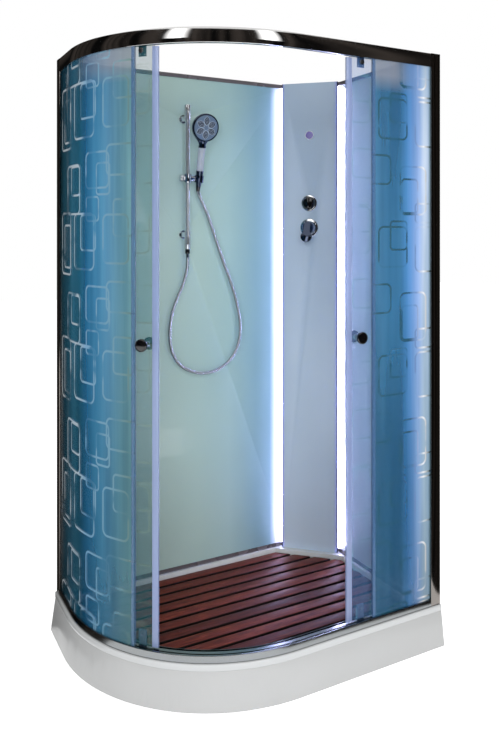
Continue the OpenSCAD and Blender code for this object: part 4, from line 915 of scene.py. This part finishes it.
# Dark boards round the studio that only polished surfaces show, with two soft glows high up on them
def makeBoards():
    values = {"radius": 7.0, "height": 7.0, "sill": 2.4, "glow": 3.2,
              "glows": [(-146.5, 1.0, 9.0), (-83.0, 1.5, 9.0)], "mats": [(-80, -20, 1.15), (90, 175, 0.75)]}
    spans = [(-180, 180, (values["radius"], 0.001), (values["radius"], values["height"]))]
    spans += [(start, end, (near, 0.001), (values["radius"], 0.001)) for start, end, near in values["mats"]]
    points, faces = [], []
    for start, end, *edges in spans:
        count = round((end - start) / 5)
        for i in range(count + 1):
            angle = math.radians(start + (end - start) * i / count)
            points += [(reach * math.cos(angle), reach * math.sin(angle), z) for reach, z in edges]
            if i:
                k = len(points)
                faces.append((k - 4, k - 2, k - 1, k - 3))
    mesh = bpy.data.meshes.new("studioBoards")
    mesh.from_pydata(points, [], faces)
    board = bpy.data.objects.new("studioBoards", mesh)
    scene.collection.objects.link(board)
    board.visible_camera = board.visible_diffuse = board.visible_transmission = board.visible_shadow = False
    material, tree, shader = newMaterial("studioBoards", Roughness=0.9, Specular_IOR_Level=0.0,
                                         Base_Color=(0.005, 0.005, 0.005, 1), Emission_Strength=1.0)
    split = addNode(tree, "ShaderNodeSeparateXYZ", {"Vector": objectPoint(tree)})
    turn = calc(tree, "DEGREES", calc(tree, "ARCTAN2", split.outputs["Y"], split.outputs["X"]))
    glow = 0.0
    for middle, full, fade in values["glows"]:
        away = calc(tree, "ABSOLUTE", calc(tree, "SUBTRACT", turn, middle))
        glow = calc(tree, "ADD", glow, spread(tree, away, values["glow"], 0.0, full, fade))
    high = calc(tree, "GREATER_THAN", split.outputs["Z"], values["sill"])
    point = addNode(tree, "ShaderNodeCombineXYZ", {"X": calc(tree, "MULTIPLY", turn, 0.07)}).outputs[0]
    streaks = ramp(tree, noise(tree, point, 1.0), [(0.44, "#020202"), (0.60, "#403a36"), (0.66, "#0c0a09")])
    light = calc(tree, "MULTIPLY", glow, high)
    both = addNode(tree, "ShaderNodeVectorMath", {0: streaks, 1: light}, operation="ADD").outputs[0]
    tree.links.new(both, shader.inputs["Emission Color"])
    mesh.materials.append(material)


def makeStudio():
    values = {"ambient": 0.5, "floorGlow": 0.8, "floor": 14, "key": 160, "fill": 30, "top": 8}
    world = bpy.data.worlds.new("studio")
    scene.world = world
    world.use_nodes = True
    tree = world.node_tree
    sky = tree.nodes["Background"]
    path = addNode(tree, "ShaderNodeLightPath")
    seen = calc(tree, "MAXIMUM", path.outputs["Is Camera Ray"], path.outputs["Is Transmission Ray"])
    seen = calc(tree, "MAXIMUM", seen, path.outputs["Is Glossy Ray"])
    sky.inputs["Color"].default_value = (1, 1, 1, 1)
    tree.links.new(calc(tree, "MAXIMUM", seen, values["ambient"]), sky.inputs["Strength"])
    floor = bpy.data.meshes.new("studioFloor")
    far = values["floor"]
    floor.from_pydata([(-far, -far, 0), (far, -far, 0), (far, far, 0), (-far, far, 0)], [], [(0, 1, 2, 3)])
    ground = bpy.data.objects.new("studioFloor", floor)
    scene.collection.objects.link(ground)
    material, tree, shader = newMaterial("paleFloor", Roughness=0.9, Specular_IOR_Level=0.0)
    shader.inputs["Base Color"].default_value = (0.8, 0.8, 0.8, 1)
    path = addNode(tree, "ShaderNodeLightPath")
    seen = calc(tree, "MAXIMUM", calc(tree, "MAXIMUM", path.outputs["Is Camera Ray"],
                                      path.outputs["Is Glossy Ray"]), path.outputs["Is Transmission Ray"])
    shader.inputs["Emission Color"].default_value = (1, 1, 1, 1)
    tree.links.new(calc(tree, "MULTIPLY", seen, values["floorGlow"]), shader.inputs["Emission Strength"])
    floor.materials.append(material)
    addLamp("keyLamp", (-1.9, -4.4, 1.9), (0, 0.2, 1.0), (3.4, 3.0), values["key"])
    addLamp("fillLamp", (3.4, -3.2, 2.2), (0, 0, 1.0), (3.0, 3.0), values["fill"])
    addLamp("topLamp", (0, -0.3, 4.4), (0, 0, 0), (3.2, 3.0), values["top"])
    makeBoards()
    scene.view_settings.view_transform = "Standard"
    scene.cycles.transparent_max_bounces = 24


makeStudio()
print("studio set")

for node, thing in nodes.items():
    thing.data.materials.clear()
    thing.data.materials.append(finishes[slotOf[node]])

print("pieces ready")
